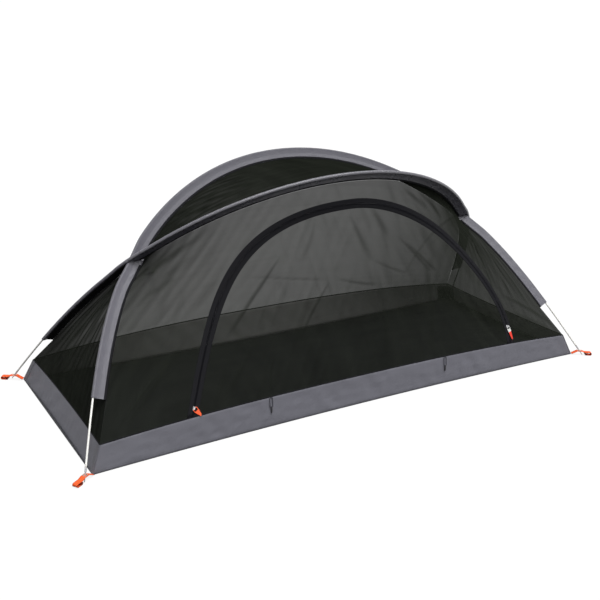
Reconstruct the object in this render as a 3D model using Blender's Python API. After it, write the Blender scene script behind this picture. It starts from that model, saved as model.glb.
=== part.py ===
"""Mosquito net tent: two crossed hoops, a net canopy and a bathtub floor.

Metres, +Z up. The origin is on the ground under the middle of the floor, +X runs
along the floor and -Y is the side with the zipped door.
"""
import math

import bmesh
import bpy
import numpy as np
from mathutils import Vector

# Floor and its upstanding walls
FLOOR_LENGTH = 2.20
FLOOR_WIDTH = 0.848
SHEET_THICKNESS = 0.0015
SIDE_BASE_BOW = 0.028
END_BASE_BOW = 0.008
CORNER_WALL_HEIGHT = 0.090
FRONT_WALL_HEIGHT = 0.118
REAR_WALL_HEIGHT = 0.146
END_WALL_HEIGHT = 0.089
FLOOR_EDGE_GAP = 0.0022
CORNER_LEAN_ALONG = 0.038
CORNER_LEAN_ACROSS = 0.026
SIDE_TOP_INSET = 0.035
END_TOP_INSET = 0.046
WALL_STAND = 0.0004
WALL_COLUMNS = 24
END_COLUMNS = 8
BASE_BOW_POWER = 2.0
TOP_BOW_POWER = 2.5

# Hoops, measured along the pole's centre line
HOOP_END_OVERHANG = 0.038
HOOP_HALF_SPAN = FLOOR_LENGTH / 2 + HOOP_END_OVERHANG
HOOP_HEIGHT = 0.879
HOOP_SIDE_OVERHANG = 0.034
HOOP_FOOT_REACH = FLOOR_WIDTH / 2 + HOOP_SIDE_OVERHANG
HOOP_TOP_LEAN = 0.264
HOOP_FOOT_ANGLE = math.radians(62.6)
HOOP_BOW_SHARE = -0.078
BEND_STATION_SHARES = (0.0, 0.33, 0.66, 1.0)
BEND_SHARES = (0.03, 1.84, 1.20, 1.00)
CURVE_STEPS = 600
HOOP_STATIONS = 32
CROSSING_STANDOFF = 0.0059
CROSSING_EASE = 0.125
CROSSING_LEVEL_SHARE = 0.13
CROSSING_STATION_SHARES = (-0.95, -0.7, -0.4, -0.13, 0.0, 0.13, 0.4, 0.7, 0.95)

# Poles
POLE_RADIUS = 0.0035
POLE_BORE_RADIUS = 0.0020
POLE_SIDES = 6
POLE_SECTIONS = 5
END_GAP = 0.0004
CORD_RADIUS = 0.0012
CORD_SIDES = 4
FERRULE_LENGTH = 0.050
FERRULE_BORE_RADIUS = 0.0041
FERRULE_RADIUS = 0.0046
ROUND_SIDES = 8
TIP_POINT_RADIUS = 0.0009
TIP_PIN_RADIUS = 0.00175
TIP_POINT_LENGTH = 0.0012
TIP_GROUND_GAP = 0.0021
TIP_PIN_LENGTH = 0.034
TIP_SHOULDER_STEP = 0.0003
TIP_LENGTH = 0.050

# Pole sleeves: a round tunnel on the outer edge of a flat band
TUNNEL_BORE_RADIUS = 0.0054
TUNNEL_RADIUS = 0.0062
BAND_WIDTH = 0.0445
BAND_THICKNESS = 0.0014
SLEEVE_START = 0.284
UNDER_CROSSING_GAP = 0.011
OVER_CROSSING_GAP = 0.0003
LEG_CROSSING_GAP = 0.0015
BAND_CROSSING_GAP = 0.0115
BAND_PLANE_GAP = 0.001
GUSSET_PLANE_GAP = 0.0018
GUSSET_POLE_DEPTH = 0.0185
GUSSET_OWN_DEPTH = 0.0078
BAND_STUB = 0.0008

# Net
NET_THICKNESS = 0.0010
NET_CORNER_SHARE = 0.12
NET_SEAM_INSET = 0.0018
NET_FOOT_GAP = 0.0008
NET_TIP_GAP = 0.014
NET_AIM_HEIGHT = 0.25
NET_AIM_REACH = 0.35
PANEL_COLUMNS = 60
PANEL_ROWS = 14
PANEL_ROUNDS = 900

# Door in the front net, with its zip
DOOR_HINGE_INSET = 0.0285
DOOR_HINGE_RISE = 0.017
DOOR_LEFT_FOOT = 0.726
DOOR_RIGHT_FOOT = 0.754
DOOR_TOP_OFFSET = 0.009
DOOR_TOP_DROP = 0.120
DOOR_LEFT_LEG_ANGLE = math.radians(63.5)
DOOR_RIGHT_LEG_ANGLE = math.radians(76.0)
DOOR_LEFT_LEG_REACH = 0.415
DOOR_RIGHT_LEG_REACH = 0.315
DOOR_LEFT_TOP_REACH = 0.458
DOOR_RIGHT_TOP_REACH = 0.305
DOOR_FOOT_OVERRUN = 0.05
DOOR_CORNER_SHARE = 0.2
ARCH_STEPS = 400
ARCH_COLUMNS = 36
DOOR_ROWS = 5
SURROUND_ROWS = 3
TAPE_WIDTH = 0.016
TAPE_THICKNESS = 0.0012
ZIP_GAP = 0.0016
TAPE_EDGE_GAP = 0.0009
SURROUND_FOOT_STEP = 0.012
SURROUND_CORNER_COLUMN = 3
SURROUND_CROSSING_COLUMN = 11

# Zip sliders and pulls
SLIDER_LENGTH = 0.013
SLIDER_WIDTH = 0.008
BAIL_WIDTH = 0.0030
SLIDER_HEIGHT = 0.0064
SLIDER_BASE = 0.0020
SLIDER_ROOF = 0.0012
SLIDER_END_WALL = 0.0018
SLIDER_CHAMFER = 0.0020
BAIL_CHAMFER = 0.0006
SLIDER_LIFT = 0.0005
SLIDER_LEFT_PLACE = 0.031
SLIDER_RIGHT_PLACE = 0.072
SLIDER_TRAVEL = 0.100
PULL_THICKNESS = 0.0014
PULL_WIDTH = 0.0180
PULL_LEFT_LENGTH = 0.036
PULL_RIGHT_LENGTH = 0.060
PULL_TIP_WIDTH = 0.006
PULL_WINDOW_WIDTH = 0.0140
PULL_WINDOW_LENGTH = 0.0110
PULL_BAR = 0.0014
PULL_CHAMFER = 0.0020
PULL_TIP_DROP = 0.0022
PULL_LEFT_TURN = math.radians(36.0)
PULL_RIGHT_TURN = math.radians(4.0)

# Loops and toggles that hold the rolled door
TIE_LEFT = -0.414
TIE_RIGHT = 0.397
TIE_DROP = 0.003
TIE_LOOP_LENGTH = 0.036
TIE_LOOP_WIDTH = 0.014
TIE_LOOP_CORNER = 0.003
TIE_CORD_RADIUS = 0.0012
TIE_CORNER_STEPS = 3
TIE_SIDES = 6
TOGGLE_RADIUS = 0.0032
TOGGLE_LENGTH = 0.026
TOGGLE_HOLE_RADIUS = 0.00165
TOGGLE_DOME_SHARES = ((0.0, 0.35), (0.3, 0.8), (1.0, 1.0))

# Corner straps with their eyelets
STRAP_WIDTH = 0.020
STRAP_THICKNESS = 0.0016
STRAP_HEIGHT = 0.018
STRAP_CORNER_GAP = 0.0014
STRAP_FLAT_HALF = 0.0105
STRAP_START_HEIGHT = 0.0045
STRAP_TAIL = 0.013
LOOP_LENGTH = 0.030
LOOP_HEIGHT = 0.0135
LOOP_GROUND_GAP = 0.0005
LOOP_LAP = 0.010
LOOP_TURN_STEPS = 6
EYELET_BORE_RADIUS = 0.0050
EYELET_BARREL_RADIUS = 0.0058
EYELET_FLANGE_RADIUS = 0.0086
EYELET_FLANGE_THICKNESS = 0.0008
EYELET_SIDES = 12
SEAT_GAP = 0.0003

# Pocket across the inside of the far right corner
POCKET_ALONG = 0.070
POCKET_ACROSS = 0.050
POCKET_FOOT_SHARE = 0.04
POCKET_TOP_SHARE = 0.85
POCKET_STANDOFF = 0.0026

SMOOTH_ANGLE = math.radians(40.0)
REAR = 1
FRONT = -1
LEFT = -1
RIGHT = 1

# Surface colours: red, green, blue, roughness, metallic
FINISHES = {
    "grey_fabric": (0.145, 0.145, 0.170, 0.75, 0.0),
    "black_fabric": (0.013, 0.014, 0.015, 0.80, 0.0),
    "black_net": (0.020, 0.021, 0.020, 0.90, 0.0),
    "black_tape": (0.010, 0.010, 0.012, 0.70, 0.0),
    "sleeve_fabric": (0.210, 0.205, 0.235, 0.70, 0.0),
    "pole_glassfibre": (0.860, 0.850, 0.800, 0.35, 0.0),
    "ferrule_steel": (0.550, 0.550, 0.560, 0.30, 1.0),
    "cord_elastic": (0.800, 0.800, 0.780, 0.80, 0.0),
    "orange_webbing": (0.830, 0.130, 0.030, 0.70, 0.0),
    "eyelet_steel": (0.600, 0.560, 0.480, 0.35, 1.0),
    "slider_metal": (0.300, 0.300, 0.310, 0.35, 1.0),
    "orange_pull": (0.850, 0.110, 0.025, 0.50, 0.0),
    "tie_cord": (0.280, 0.280, 0.310, 0.80, 0.0),
    "toggle_plastic": (0.015, 0.015, 0.018, 0.45, 0.0),
}


# Helpers
def clear_scene():
    """Remove every object that the scene already holds."""
    for old in list(bpy.data.objects):
        bpy.data.objects.remove(old, do_unlink=True)


def finish(name):
    """Return the named material, making it on first use."""
    found = bpy.data.materials.get(name)
    if found:
        return found
    red, green, blue, roughness, metallic = FINISHES[name]
    made = bpy.data.materials.new(name)
    made.use_nodes = True
    shader = made.node_tree.nodes["Principled BSDF"]
    shader.inputs["Base Color"].default_value = (red, green, blue, 1.0)
    shader.inputs["Roughness"].default_value = roughness
    shader.inputs["Metallic"].default_value = metallic
    return made


def add_mesh(name, points, faces, material, origin=None):
    """Make one closed object, with its faces turned outwards and its origin at a point."""
    pivot = np.zeros(3) if origin is None else np.asarray(origin, dtype=float)
    mesh = bpy.data.meshes.new(name)
    mesh.from_pydata([tuple(np.asarray(point) - pivot) for point in points], [], faces)
    body = bmesh.new()
    body.from_mesh(mesh)
    bmesh.ops.recalc_face_normals(body, faces=body.faces)
    body.to_mesh(mesh)
    body.free()
    mesh.shade_smooth()
    mesh.set_sharp_from_angle(angle=SMOOTH_ANGLE)
    made = bpy.data.objects.new(name, mesh)
    made.location = Vector(pivot)
    made.data.materials.append(finish(material))
    bpy.context.collection.objects.link(made)
    return made


def unit(vectors):
    """Scale a vector, or each row of an array of vectors, to length one."""
    vectors = np.asarray(vectors, dtype=float)
    return vectors / np.linalg.norm(vectors, axis=-1, keepdims=True)


def running_sum(values, places):
    """Integrate values over places, starting from zero."""
    steps = np.diff(places) * (values[1:] + values[:-1]) / 2
    return np.concatenate([[0.0], np.cumsum(steps)])


def lengths_along(points):
    """Return the distance along a line of points to each of them."""
    steps = np.linalg.norm(np.diff(points, axis=0), axis=1)
    return np.concatenate([[0.0], np.cumsum(steps)])


def pick(points, places, wanted):
    """Read rows of points, given at places, at the wanted places."""
    points = np.asarray(points, dtype=float)
    wanted = np.atleast_1d(wanted)
    return np.stack([np.interp(wanted, places, points[:, axis]) for axis in range(points.shape[1])], 1)


def resample(points, shares):
    """Read a line of points at shares of its own length."""
    places = lengths_along(points)
    return pick(points, places, np.asarray(shares) * places[-1])


def slab(name, grid, thickness, material, origin=None):
    """Make a sheet of even thickness from a grid of points on its middle surface."""
    grid = np.asarray(grid, dtype=float)
    rows, columns = grid.shape[:2]
    across = np.gradient(grid, axis=0)
    along = np.gradient(grid, axis=1)
    half = unit(np.cross(along, across)) * thickness / 2
    points = np.concatenate([(grid + half).reshape(-1, 3), (grid - half).reshape(-1, 3)])
    under = rows * columns

    def at(row, column):
        return row * columns + column

    faces = []
    for row in range(rows - 1):
        for column in range(columns - 1):
            first, second = at(row, column), at(row, column + 1)
            third, fourth = at(row + 1, column + 1), at(row + 1, column)
            for half_quad in ((first, second, third), (first, third, fourth)):
                faces.append(half_quad)
                faces.append(tuple(under + corner for corner in reversed(half_quad)))
    rim = [at(0, column) for column in range(columns)]
    rim += [at(row, columns - 1) for row in range(1, rows)]
    rim += [at(rows - 1, column) for column in range(columns - 2, -1, -1)]
    rim += [at(row, 0) for row in range(rows - 2, 0, -1)]
    for first, second in zip(rim, rim[1:] + rim[:1]):
        faces.append((first, under + first, under + second, second))
    return add_mesh(name, points, faces, material, origin)


def ring_faces(first, second, count):
    """Join two rings of points, given by their first indices, with quads."""
    faces = []
    for step in range(count):
        after = (step + 1) % count
        faces.append((first + step, first + after, second + after, second + step))
    return faces


def sweep(name, centres, side_a, side_b, rings, material, origin=None):
    """Make a solid rod from one ring of flat points at each station."""
    points = []
    for centre, a_way, b_way, ring in zip(centres, side_a, side_b, rings):
        points += placed(centre, a_way, b_way, ring)
    count = len(rings[0])
    faces = [tuple(range(count)), tuple(range(len(points) - count, len(points)))]
    for station in range(len(rings) - 1):
        faces += ring_faces(station * count, (station + 1) * count, count)
    return add_mesh(name, points, faces, material, origin)


def polygon(radius, sides, start=0.0):
    """Return the corners of a regular polygon."""
    turns = [start + 2 * math.pi * side / sides for side in range(sides)]
    return [(radius * math.cos(turn), radius * math.sin(turn)) for turn in turns]


def hollow(name, outers, bores, material, origin=None, corner=None):
    """Make a solid with a hole right through it, from two rings of points at each station."""
    wide = len(outers[0])
    narrow = len(bores[0])
    step = wide + narrow
    points = []
    for outer, bore in zip(outers, bores):
        points += list(outer) + list(bore)
    faces = []
    for station in range(len(outers) - 1):
        start = station * step
        faces += ring_faces(start, start + step, wide)
        faces += ring_faces(start + wide, start + step + wide, narrow)
    final = (len(outers) - 1) * step
    for start in (0, final):
        faces += ring_faces(start, start + wide, narrow)
        band_end = tuple(range(start + narrow - 1, start + wide)) + (start,)
        if wide > narrow and (start == 0 or corner is None):
            faces.append(band_end)
    if corner is not None:
        first = len(points)
        count = len(corner[0])
        half = corner[1] * BAND_THICKNESS / 2
        points += list(corner[0] - half) + list(corner[0] + half)
        under = [final + narrow - 1, final + narrow] + list(range(first, first + count))
        over = [final, final + narrow + 1] + list(range(first + count, first + 2 * count))
        faces += [tuple(under), tuple(over)]
        for place in range(1, count + 2):
            after = (place + 1) % (count + 2)
            faces.append((under[place], under[after], over[after], over[place]))
    return add_mesh(name, points, faces, material, origin)


def placed(centre, a_way, b_way, ring):
    """Put a flat ring of points in space."""
    return [centre + a * a_way + b * b_way for a, b in ring]


def pipe(name, centres, side_a, side_b, radius, bore, sides, material):
    """Make a tube, open at both ends."""
    stations = list(zip(centres, side_a, side_b))
    outers = [placed(*station, polygon(radius, sides)) for station in stations]
    bores = [placed(*station, polygon(bore, sides)) for station in stations]
    return hollow(name, outers, bores, material)


def turned(name, centre, profile, sides, material):
    """Turn a closed profile of radii and heights about an upright axis."""
    points = []
    for radius, height in profile:
        ring = placed(centre, np.array([1, 0, 0]), np.array([0, 1, 0]), polygon(radius, sides))
        points += [point + np.array([0, 0, height]) for point in ring]
    faces = []
    count = len(profile)
    for station in range(count):
        faces += ring_faces(station * sides, (station + 1) % count * sides, sides)
    return add_mesh(name, points, faces, material)


def cut(target, name, centre, half, side_a, side_b, radius, sides):
    """Cut a straight round hole through an object."""
    rings = [polygon(radius, sides)] * 2
    centres = [centre - half, centre + half]
    cutter = sweep(name, centres, [side_a] * 2, [side_b] * 2, rings, "eyelet_steel")
    cutter.hide_render = True
    cutter.display_type = "WIRE"
    hole = target.modifiers.new(name, "BOOLEAN")
    hole.operation = "DIFFERENCE"
    hole.solver = "EXACT"
    hole.object = cutter


# Walls and floor
def bump(share, power):
    """Rise from zero at both ends to one in the middle."""
    return 1 - np.abs(2 * np.asarray(share) - 1) ** power


def side_wall_edges(side, share):
    """Foot and top edge of a long wall, at shares of its length."""
    height = REAR_WALL_HEIGHT if side == REAR else FRONT_WALL_HEIGHT
    share = np.asarray(share, dtype=float)
    rise = bump(share, TOP_BOW_POWER)
    foot_x = FLOOR_LENGTH * (share - 1 / 2)
    foot_y = side * (FLOOR_WIDTH / 2 - SIDE_BASE_BOW * bump(share, BASE_BOW_POWER))
    foot = np.stack([foot_x, foot_y, np.full_like(foot_x, WALL_STAND)], 1)
    top_x = (FLOOR_LENGTH - 2 * CORNER_LEAN_ALONG) * (share - 1 / 2)
    inset = CORNER_LEAN_ACROSS * (1 - rise) + SIDE_TOP_INSET * rise
    top_y = side * (FLOOR_WIDTH / 2 - inset)
    top_z = CORNER_WALL_HEIGHT * (1 - rise) + height * rise
    return foot, np.stack([top_x, top_y, top_z], 1)


def end_wall_edges(end, share):
    """Foot and top edge of a short wall, at shares of its length."""
    share = np.asarray(share, dtype=float)
    rise = bump(share, TOP_BOW_POWER)
    foot_y = FLOOR_WIDTH * (share - 1 / 2)
    foot_x = end * (FLOOR_LENGTH / 2 - END_BASE_BOW * bump(share, BASE_BOW_POWER))
    foot = np.stack([foot_x, foot_y, np.full_like(foot_y, WALL_STAND)], 1)
    top_y = (FLOOR_WIDTH - 2 * CORNER_LEAN_ACROSS) * (share - 1 / 2)
    inset = CORNER_LEAN_ALONG * (1 - rise) + END_TOP_INSET * rise
    top_x = end * (FLOOR_LENGTH / 2 - inset)
    top_z = CORNER_WALL_HEIGHT * (1 - rise) + END_WALL_HEIGHT * rise
    return foot, np.stack([top_x, top_y, top_z], 1)


def corner_trim():
    """Room that a wall's end leaves for the wall beside it."""
    return SHEET_THICKNESS / 2 + SEAT_GAP + SHEET_THICKNESS / 4


def wall_shares(length, columns):
    """Evenly spread shares of a wall that stops short of both corners."""
    trim = corner_trim() / length
    return np.linspace(trim, 1 - trim, columns + 1)


def build_walls():
    """Four upstanding walls, which meet at the corners."""
    for side, name in ((FRONT, "wall_front"), (REAR, "wall_rear")):
        foot, top = side_wall_edges(side, wall_shares(FLOOR_LENGTH, WALL_COLUMNS))
        slab(name, [foot, (foot + top) / 2, top], SHEET_THICKNESS, "grey_fabric")
    for end, name in ((LEFT, "wall_left_end"), (RIGHT, "wall_right_end")):
        foot, top = end_wall_edges(end, wall_shares(FLOOR_WIDTH, END_COLUMNS))
        slab(name, [foot, (foot + top) / 2, top], SHEET_THICKNESS, "grey_fabric")


def build_groundsheet():
    """Flat floor inside the feet of the walls."""
    inset = FLOOR_EDGE_GAP
    side_shares = wall_shares(FLOOR_LENGTH, WALL_COLUMNS)
    end_shares = wall_shares(FLOOR_WIDTH, END_COLUMNS)
    front = side_wall_edges(FRONT, side_shares)[0] + [0, inset, 0]
    rear = side_wall_edges(REAR, side_shares)[0] - [0, inset, 0]
    left = end_wall_edges(LEFT, end_shares)[0] + [inset, 0, 0]
    right = end_wall_edges(RIGHT, end_shares)[0] - [inset, 0, 0]
    half = np.array([FLOOR_LENGTH / 2 - inset, FLOOR_WIDTH / 2 - inset, WALL_STAND])
    outline = np.concatenate([
        [half * [LEFT, FRONT, 1]], front[1:-1], [half * [RIGHT, FRONT, 1]], right[1:-1],
        [half * [RIGHT, REAR, 1]], rear[-2:0:-1], [half * [LEFT, REAR, 1]], left[-2:0:-1],
    ])
    low = [(x, y, 0.0) for x, y, _ in outline]
    high = [(x, y, SHEET_THICKNESS) for x, y, _ in outline]
    count = len(low)
    faces = [tuple(range(count)), tuple(range(count, 2 * count))]
    faces += ring_faces(0, count, count)
    add_mesh("groundsheet", low + high, faces, "black_fabric")


# Hoops
class Hoop:
    """Centre line of one bent pole, from its left foot to its right foot."""

    def __init__(self, side):
        self.side = side
        centre, inward = self.bent_line()
        reach = lengths_along(centre)
        self.length = reach[-1]
        middle = len(centre) // 2
        rising = centre[:middle, 1] * side
        self.crossing = float(np.interp(0.0, rising, reach[:middle]))
        places = self.station_places()
        points = pick(centre, reach, places)
        inward = unit(pick(inward, reach, places))
        away = np.minimum(np.abs(places - self.crossing), np.abs(places - self.length + self.crossing))
        level = CROSSING_LEVEL_SHARE * CROSSING_EASE
        ease = np.cos(np.clip((away - level) / (CROSSING_EASE - level), 0, 1) * math.pi / 2) ** 2
        push = side * CROSSING_STANDOFF * ease
        self.places = places
        self.points = points + inward * push[:, None]
        self.inward = inward

    def bent_line(self):
        """Fine centre line of the hoop and its inward direction."""
        shares = np.linspace(0, 1, CURVE_STEPS)
        bend = np.interp(shares, BEND_STATION_SHARES, BEND_SHARES)
        bent = running_sum(bend, shares)
        angle = HOOP_FOOT_ANGLE * (1 - bent / bent[-1])
        along = running_sum(np.cos(angle), shares)
        rise = running_sum(np.sin(angle), shares)
        lift = rise / rise[-1]
        across = HOOP_FOOT_REACH + HOOP_TOP_LEAN
        x = HOOP_HALF_SPAN * (along / along[-1] - 1)
        y = -HOOP_FOOT_REACH + across * (lift + HOOP_BOW_SHARE * lift * (1 - lift))
        z = HOOP_HEIGHT * lift
        half = np.stack([x, y, z], 1)
        whole = np.concatenate([half, (half[:-1] * [-1, 1, 1])[::-1]])
        tangent = unit(np.gradient(whole, axis=0))
        plane_normal = np.cross([1, 0, 0], unit([0, across, HOOP_HEIGHT]))
        inward = unit(np.cross(tangent, plane_normal))
        return whole * [1, self.side, 1], inward * [1, self.side, 1]

    def station_places(self):
        """Distances of the stations that every piece on this hoop shares."""
        marks = []
        for share in CROSSING_STATION_SHARES:
            marks.append(self.crossing + share * CROSSING_EASE)
            marks.append(self.length - self.crossing - share * CROSSING_EASE)
        spacing = self.length / HOOP_STATIONS
        places = list(marks)
        for step in range(HOOP_STATIONS + 1):
            place = spacing * step
            if min(abs(place - mark) for mark in marks) > spacing / 4:
                places.append(place)
        return np.array(sorted(places))

    def frame(self, wanted):
        """Points, inward and sideways directions at the wanted distances."""
        points = pick(self.points, self.places, wanted)
        inward = unit(pick(self.inward, self.places, wanted))
        upward = np.array([0, self.side * (HOOP_FOOT_REACH + HOOP_TOP_LEAN), HOOP_HEIGHT])
        sideways = np.tile(unit(np.cross(upward, [1, 0, 0])), (len(points), 1))
        return points, inward, sideways

    def between(self, start, end):
        """Station distances from start to end, with both ends."""
        inside = self.places[(self.places > start + END_GAP) & (self.places < end - END_GAP)]
        return np.concatenate([[start], inside, [end]])

    def seam(self, wanted):
        """Inner edge of the sleeve's band, where the net is sewn."""
        points, inward, _ = self.frame(wanted)
        return points + inward * BAND_WIDTH

    def seam_crossing(self):
        """Distance at which the inner edge passes over the middle line."""
        near = self.places[self.places < self.length / 2]
        return float(np.interp(0.0, self.seam(near)[:, 1] * self.side, near))


def build_pole(hoop, label):
    """Tubular sections, ferrules, elastic cord and the two end pins of one pole."""
    start = TIP_LENGTH + SEAT_GAP
    end = hoop.length - start
    section = (end - start) / POLE_SECTIONS
    for number in range(POLE_SECTIONS):
        low = start + section * number + (END_GAP / 2 if number else 0)
        high = start + section * (number + 1) - (END_GAP / 2 if number < POLE_SECTIONS - 1 else 0)
        frame = hoop.frame(hoop.between(low, high))
        name = f"{label}_pole_section_{number + 1}"
        pipe(name, *frame, POLE_RADIUS, POLE_BORE_RADIUS, POLE_SIDES, "pole_glassfibre")
    for number in range(1, POLE_SECTIONS):
        middle = start + section * number
        frame = hoop.frame(hoop.between(middle - FERRULE_LENGTH / 2, middle + FERRULE_LENGTH / 2))
        name = f"{label}_pole_ferrule_{number}"
        pipe(name, *frame, FERRULE_RADIUS, FERRULE_BORE_RADIUS, ROUND_SIDES, "ferrule_steel")
    frame = hoop.frame(hoop.between(start, end))
    rings = [polygon(CORD_RADIUS, CORD_SIDES)] * len(frame[0])
    sweep(f"{label}_shock_cord", *frame, rings, "cord_elastic")
    profile = (
        (TIP_GROUND_GAP, TIP_POINT_RADIUS),
        (TIP_GROUND_GAP + TIP_POINT_LENGTH, TIP_PIN_RADIUS),
        (TIP_PIN_LENGTH, TIP_PIN_RADIUS),
        (TIP_PIN_LENGTH + TIP_SHOULDER_STEP, POLE_RADIUS),
        (TIP_LENGTH, POLE_RADIUS),
    )
    for end_name, flip in (("left", False), ("right", True)):
        places = [hoop.length - place if flip else place for place, _ in profile]
        points, inward, sideways = hoop.frame(places)
        rings = [polygon(radius, ROUND_SIDES) for _, radius in profile]
        sweep(f"{label}_pole_tip_{end_name}", points, inward, sideways, rings, "ferrule_steel")


def sleeve_ring(depth):
    """Outline of the tunnel with its band, and of the bore, in the pole's cross-section."""
    lip = math.asin(BAND_THICKNESS / 2 / TUNNEL_RADIUS)
    sweep_angle = 2 * math.pi - 2 * lip
    turns = [lip + sweep_angle * step / (ROUND_SIDES - 1) for step in range(ROUND_SIDES)]
    outer = [(TUNNEL_RADIUS * math.cos(turn), TUNNEL_RADIUS * math.sin(turn)) for turn in turns]
    outer += [(depth, -BAND_THICKNESS / 2), (depth, BAND_THICKNESS / 2)]
    bore = [(TUNNEL_BORE_RADIUS * math.cos(turn), TUNNEL_BORE_RADIUS * math.sin(turn)) for turn in turns]
    return outer, bore


def band_depths(hoop, places, is_over):
    """How far an arch's band reaches inwards at each station, short of the middle line."""
    points, inward, _ = hoop.frame(places)
    stub = TUNNEL_RADIUS + BAND_STUB
    slope = np.maximum(-inward[:, 1] * hoop.side, BAND_PLANE_GAP)
    room = (points[:, 1] * hoop.side - BAND_PLANE_GAP) / slope
    if is_over:
        away = np.minimum(np.abs(places - hoop.crossing), np.abs(places - hoop.length + hoop.crossing))
        room[away < BAND_CROSSING_GAP] = stub
    return np.clip(room, stub, BAND_WIDTH)


def gusset(hoop, gap, is_over, flip):
    """Outline, beyond a leg's end, of the band's corner that runs up to the middle line."""
    level = CROSSING_LEVEL_SHARE * CROSSING_EASE
    steps = np.linspace(-gap, 2 * BAND_WIDTH, CURVE_STEPS)
    points, inward, _ = hoop.frame(hoop.crossing + steps)
    slope = np.maximum(-inward[:, 1] * hoop.side, BAND_PLANE_GAP)
    start = (points[:, 1] * hoop.side + GUSSET_PLANE_GAP) / slope
    start = np.maximum(start, GUSSET_POLE_DEPTH if is_over else GUSSET_OWN_DEPTH)
    tip = np.interp(BAND_WIDTH, start, steps)
    outline = [(tip / 2, BAND_WIDTH), (tip, BAND_WIDTH)]
    outline += [(place, np.interp(place, steps, start)) for place in (level, 0, -gap)]
    places = np.array([hoop.crossing + step for step, _ in outline])
    depths = np.array([depth for _, depth in outline])
    points, inward, sideways = hoop.frame(places)
    points = points + inward * depths[:, None]
    if flip:
        points = points * [-1, 1, 1]
    return points, sideways


def build_sleeve(hoop, label):
    """Arch and two legs of one pole sleeve; the front one passes over the rear one."""
    is_over = hoop.side == FRONT
    gap = OVER_CROSSING_GAP if is_over else UNDER_CROSSING_GAP
    leg_gap = LEG_CROSSING_GAP if is_over else UNDER_CROSSING_GAP
    far = hoop.length - hoop.crossing
    spans = (
        ("left_leg", SLEEVE_START, hoop.crossing - leg_gap),
        ("arch", hoop.crossing + gap, far - gap),
        ("right_leg", hoop.length - SLEEVE_START, far + leg_gap),
    )
    for part, start, end in spans:
        places = hoop.between(min(start, end), max(start, end))
        if is_over and part == "arch":
            edges = hoop.crossing + np.array([BAND_CROSSING_GAP - END_GAP, BAND_CROSSING_GAP + END_GAP])
            places = np.unique(np.concatenate([places, edges, hoop.length - edges]))
        if end < start:
            places = places[::-1]
        is_arch = part == "arch"
        depths = band_depths(hoop, places, is_over) if is_arch else np.full(len(places), BAND_WIDTH)
        corner = None if is_arch else gusset(hoop, leg_gap, is_over, part == "right_leg")
        sleeve_mesh(f"{label}_sleeve_{part}", *hoop.frame(places), depths, corner)


def sleeve_mesh(name, centres, inward, sideways, depths, corner):
    """Tunnel and band swept along the pole, with the band's corner past its last station."""
    outers = []
    bores = []
    for centre, a_way, b_way, depth in zip(centres, inward, sideways, depths):
        outer, bore = sleeve_ring(depth)
        outers.append(placed(centre, a_way, b_way, outer))
        bores.append(placed(centre, a_way, b_way, bore))
    hollow(name, outers, bores, "sleeve_fabric", None, corner)


# Net panels
def wall_top(side, x):
    """Top edge of a long wall at the wanted x."""
    share = np.asarray(x) / (FLOOR_LENGTH - 2 * CORNER_LEAN_ALONG) + 1 / 2
    places = wall_shares(FLOOR_LENGTH, WALL_COLUMNS)
    top = side_wall_edges(side, places)[1]
    return pick(top, places, np.clip(share, places[0], places[-1]))


def sewn_edge(side, leg_hoop, arch_hoop):
    """Outer edge of a long net panel: up a leg, over an arch and down a leg."""
    corner = wall_top(side, [-FLOOR_LENGTH / 2])[0] + [0, 0, NET_FOOT_GAP]
    leg_end = leg_hoop.seam_crossing()
    arch_start = arch_hoop.seam_crossing()
    leg = leg_hoop.seam(leg_hoop.between(SLEEVE_START, leg_end))
    arch_places = arch_hoop.between(arch_start, arch_hoop.length - arch_start)
    arch = arch_hoop.seam(arch_places)
    aim = np.array([0.0, side * NET_AIM_REACH, NET_AIM_HEIGHT])
    leg = leg + unit(aim - leg) * NET_SEAM_INSET
    arch = arch + unit(aim - arch) * NET_SEAM_INSET
    half = arch[: len(arch) // 2 + 1]
    left = np.concatenate([[corner], leg, half[1:]])
    middle = arch[len(half):len(arch) - len(half)]
    right = left[::-1] * [-1, 1, 1]
    if np.allclose(left[-1], right[0]):
        right = right[1:]
    marks = (len(leg), len(left) - 1)
    return np.concatenate([left, middle, right]), marks


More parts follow.
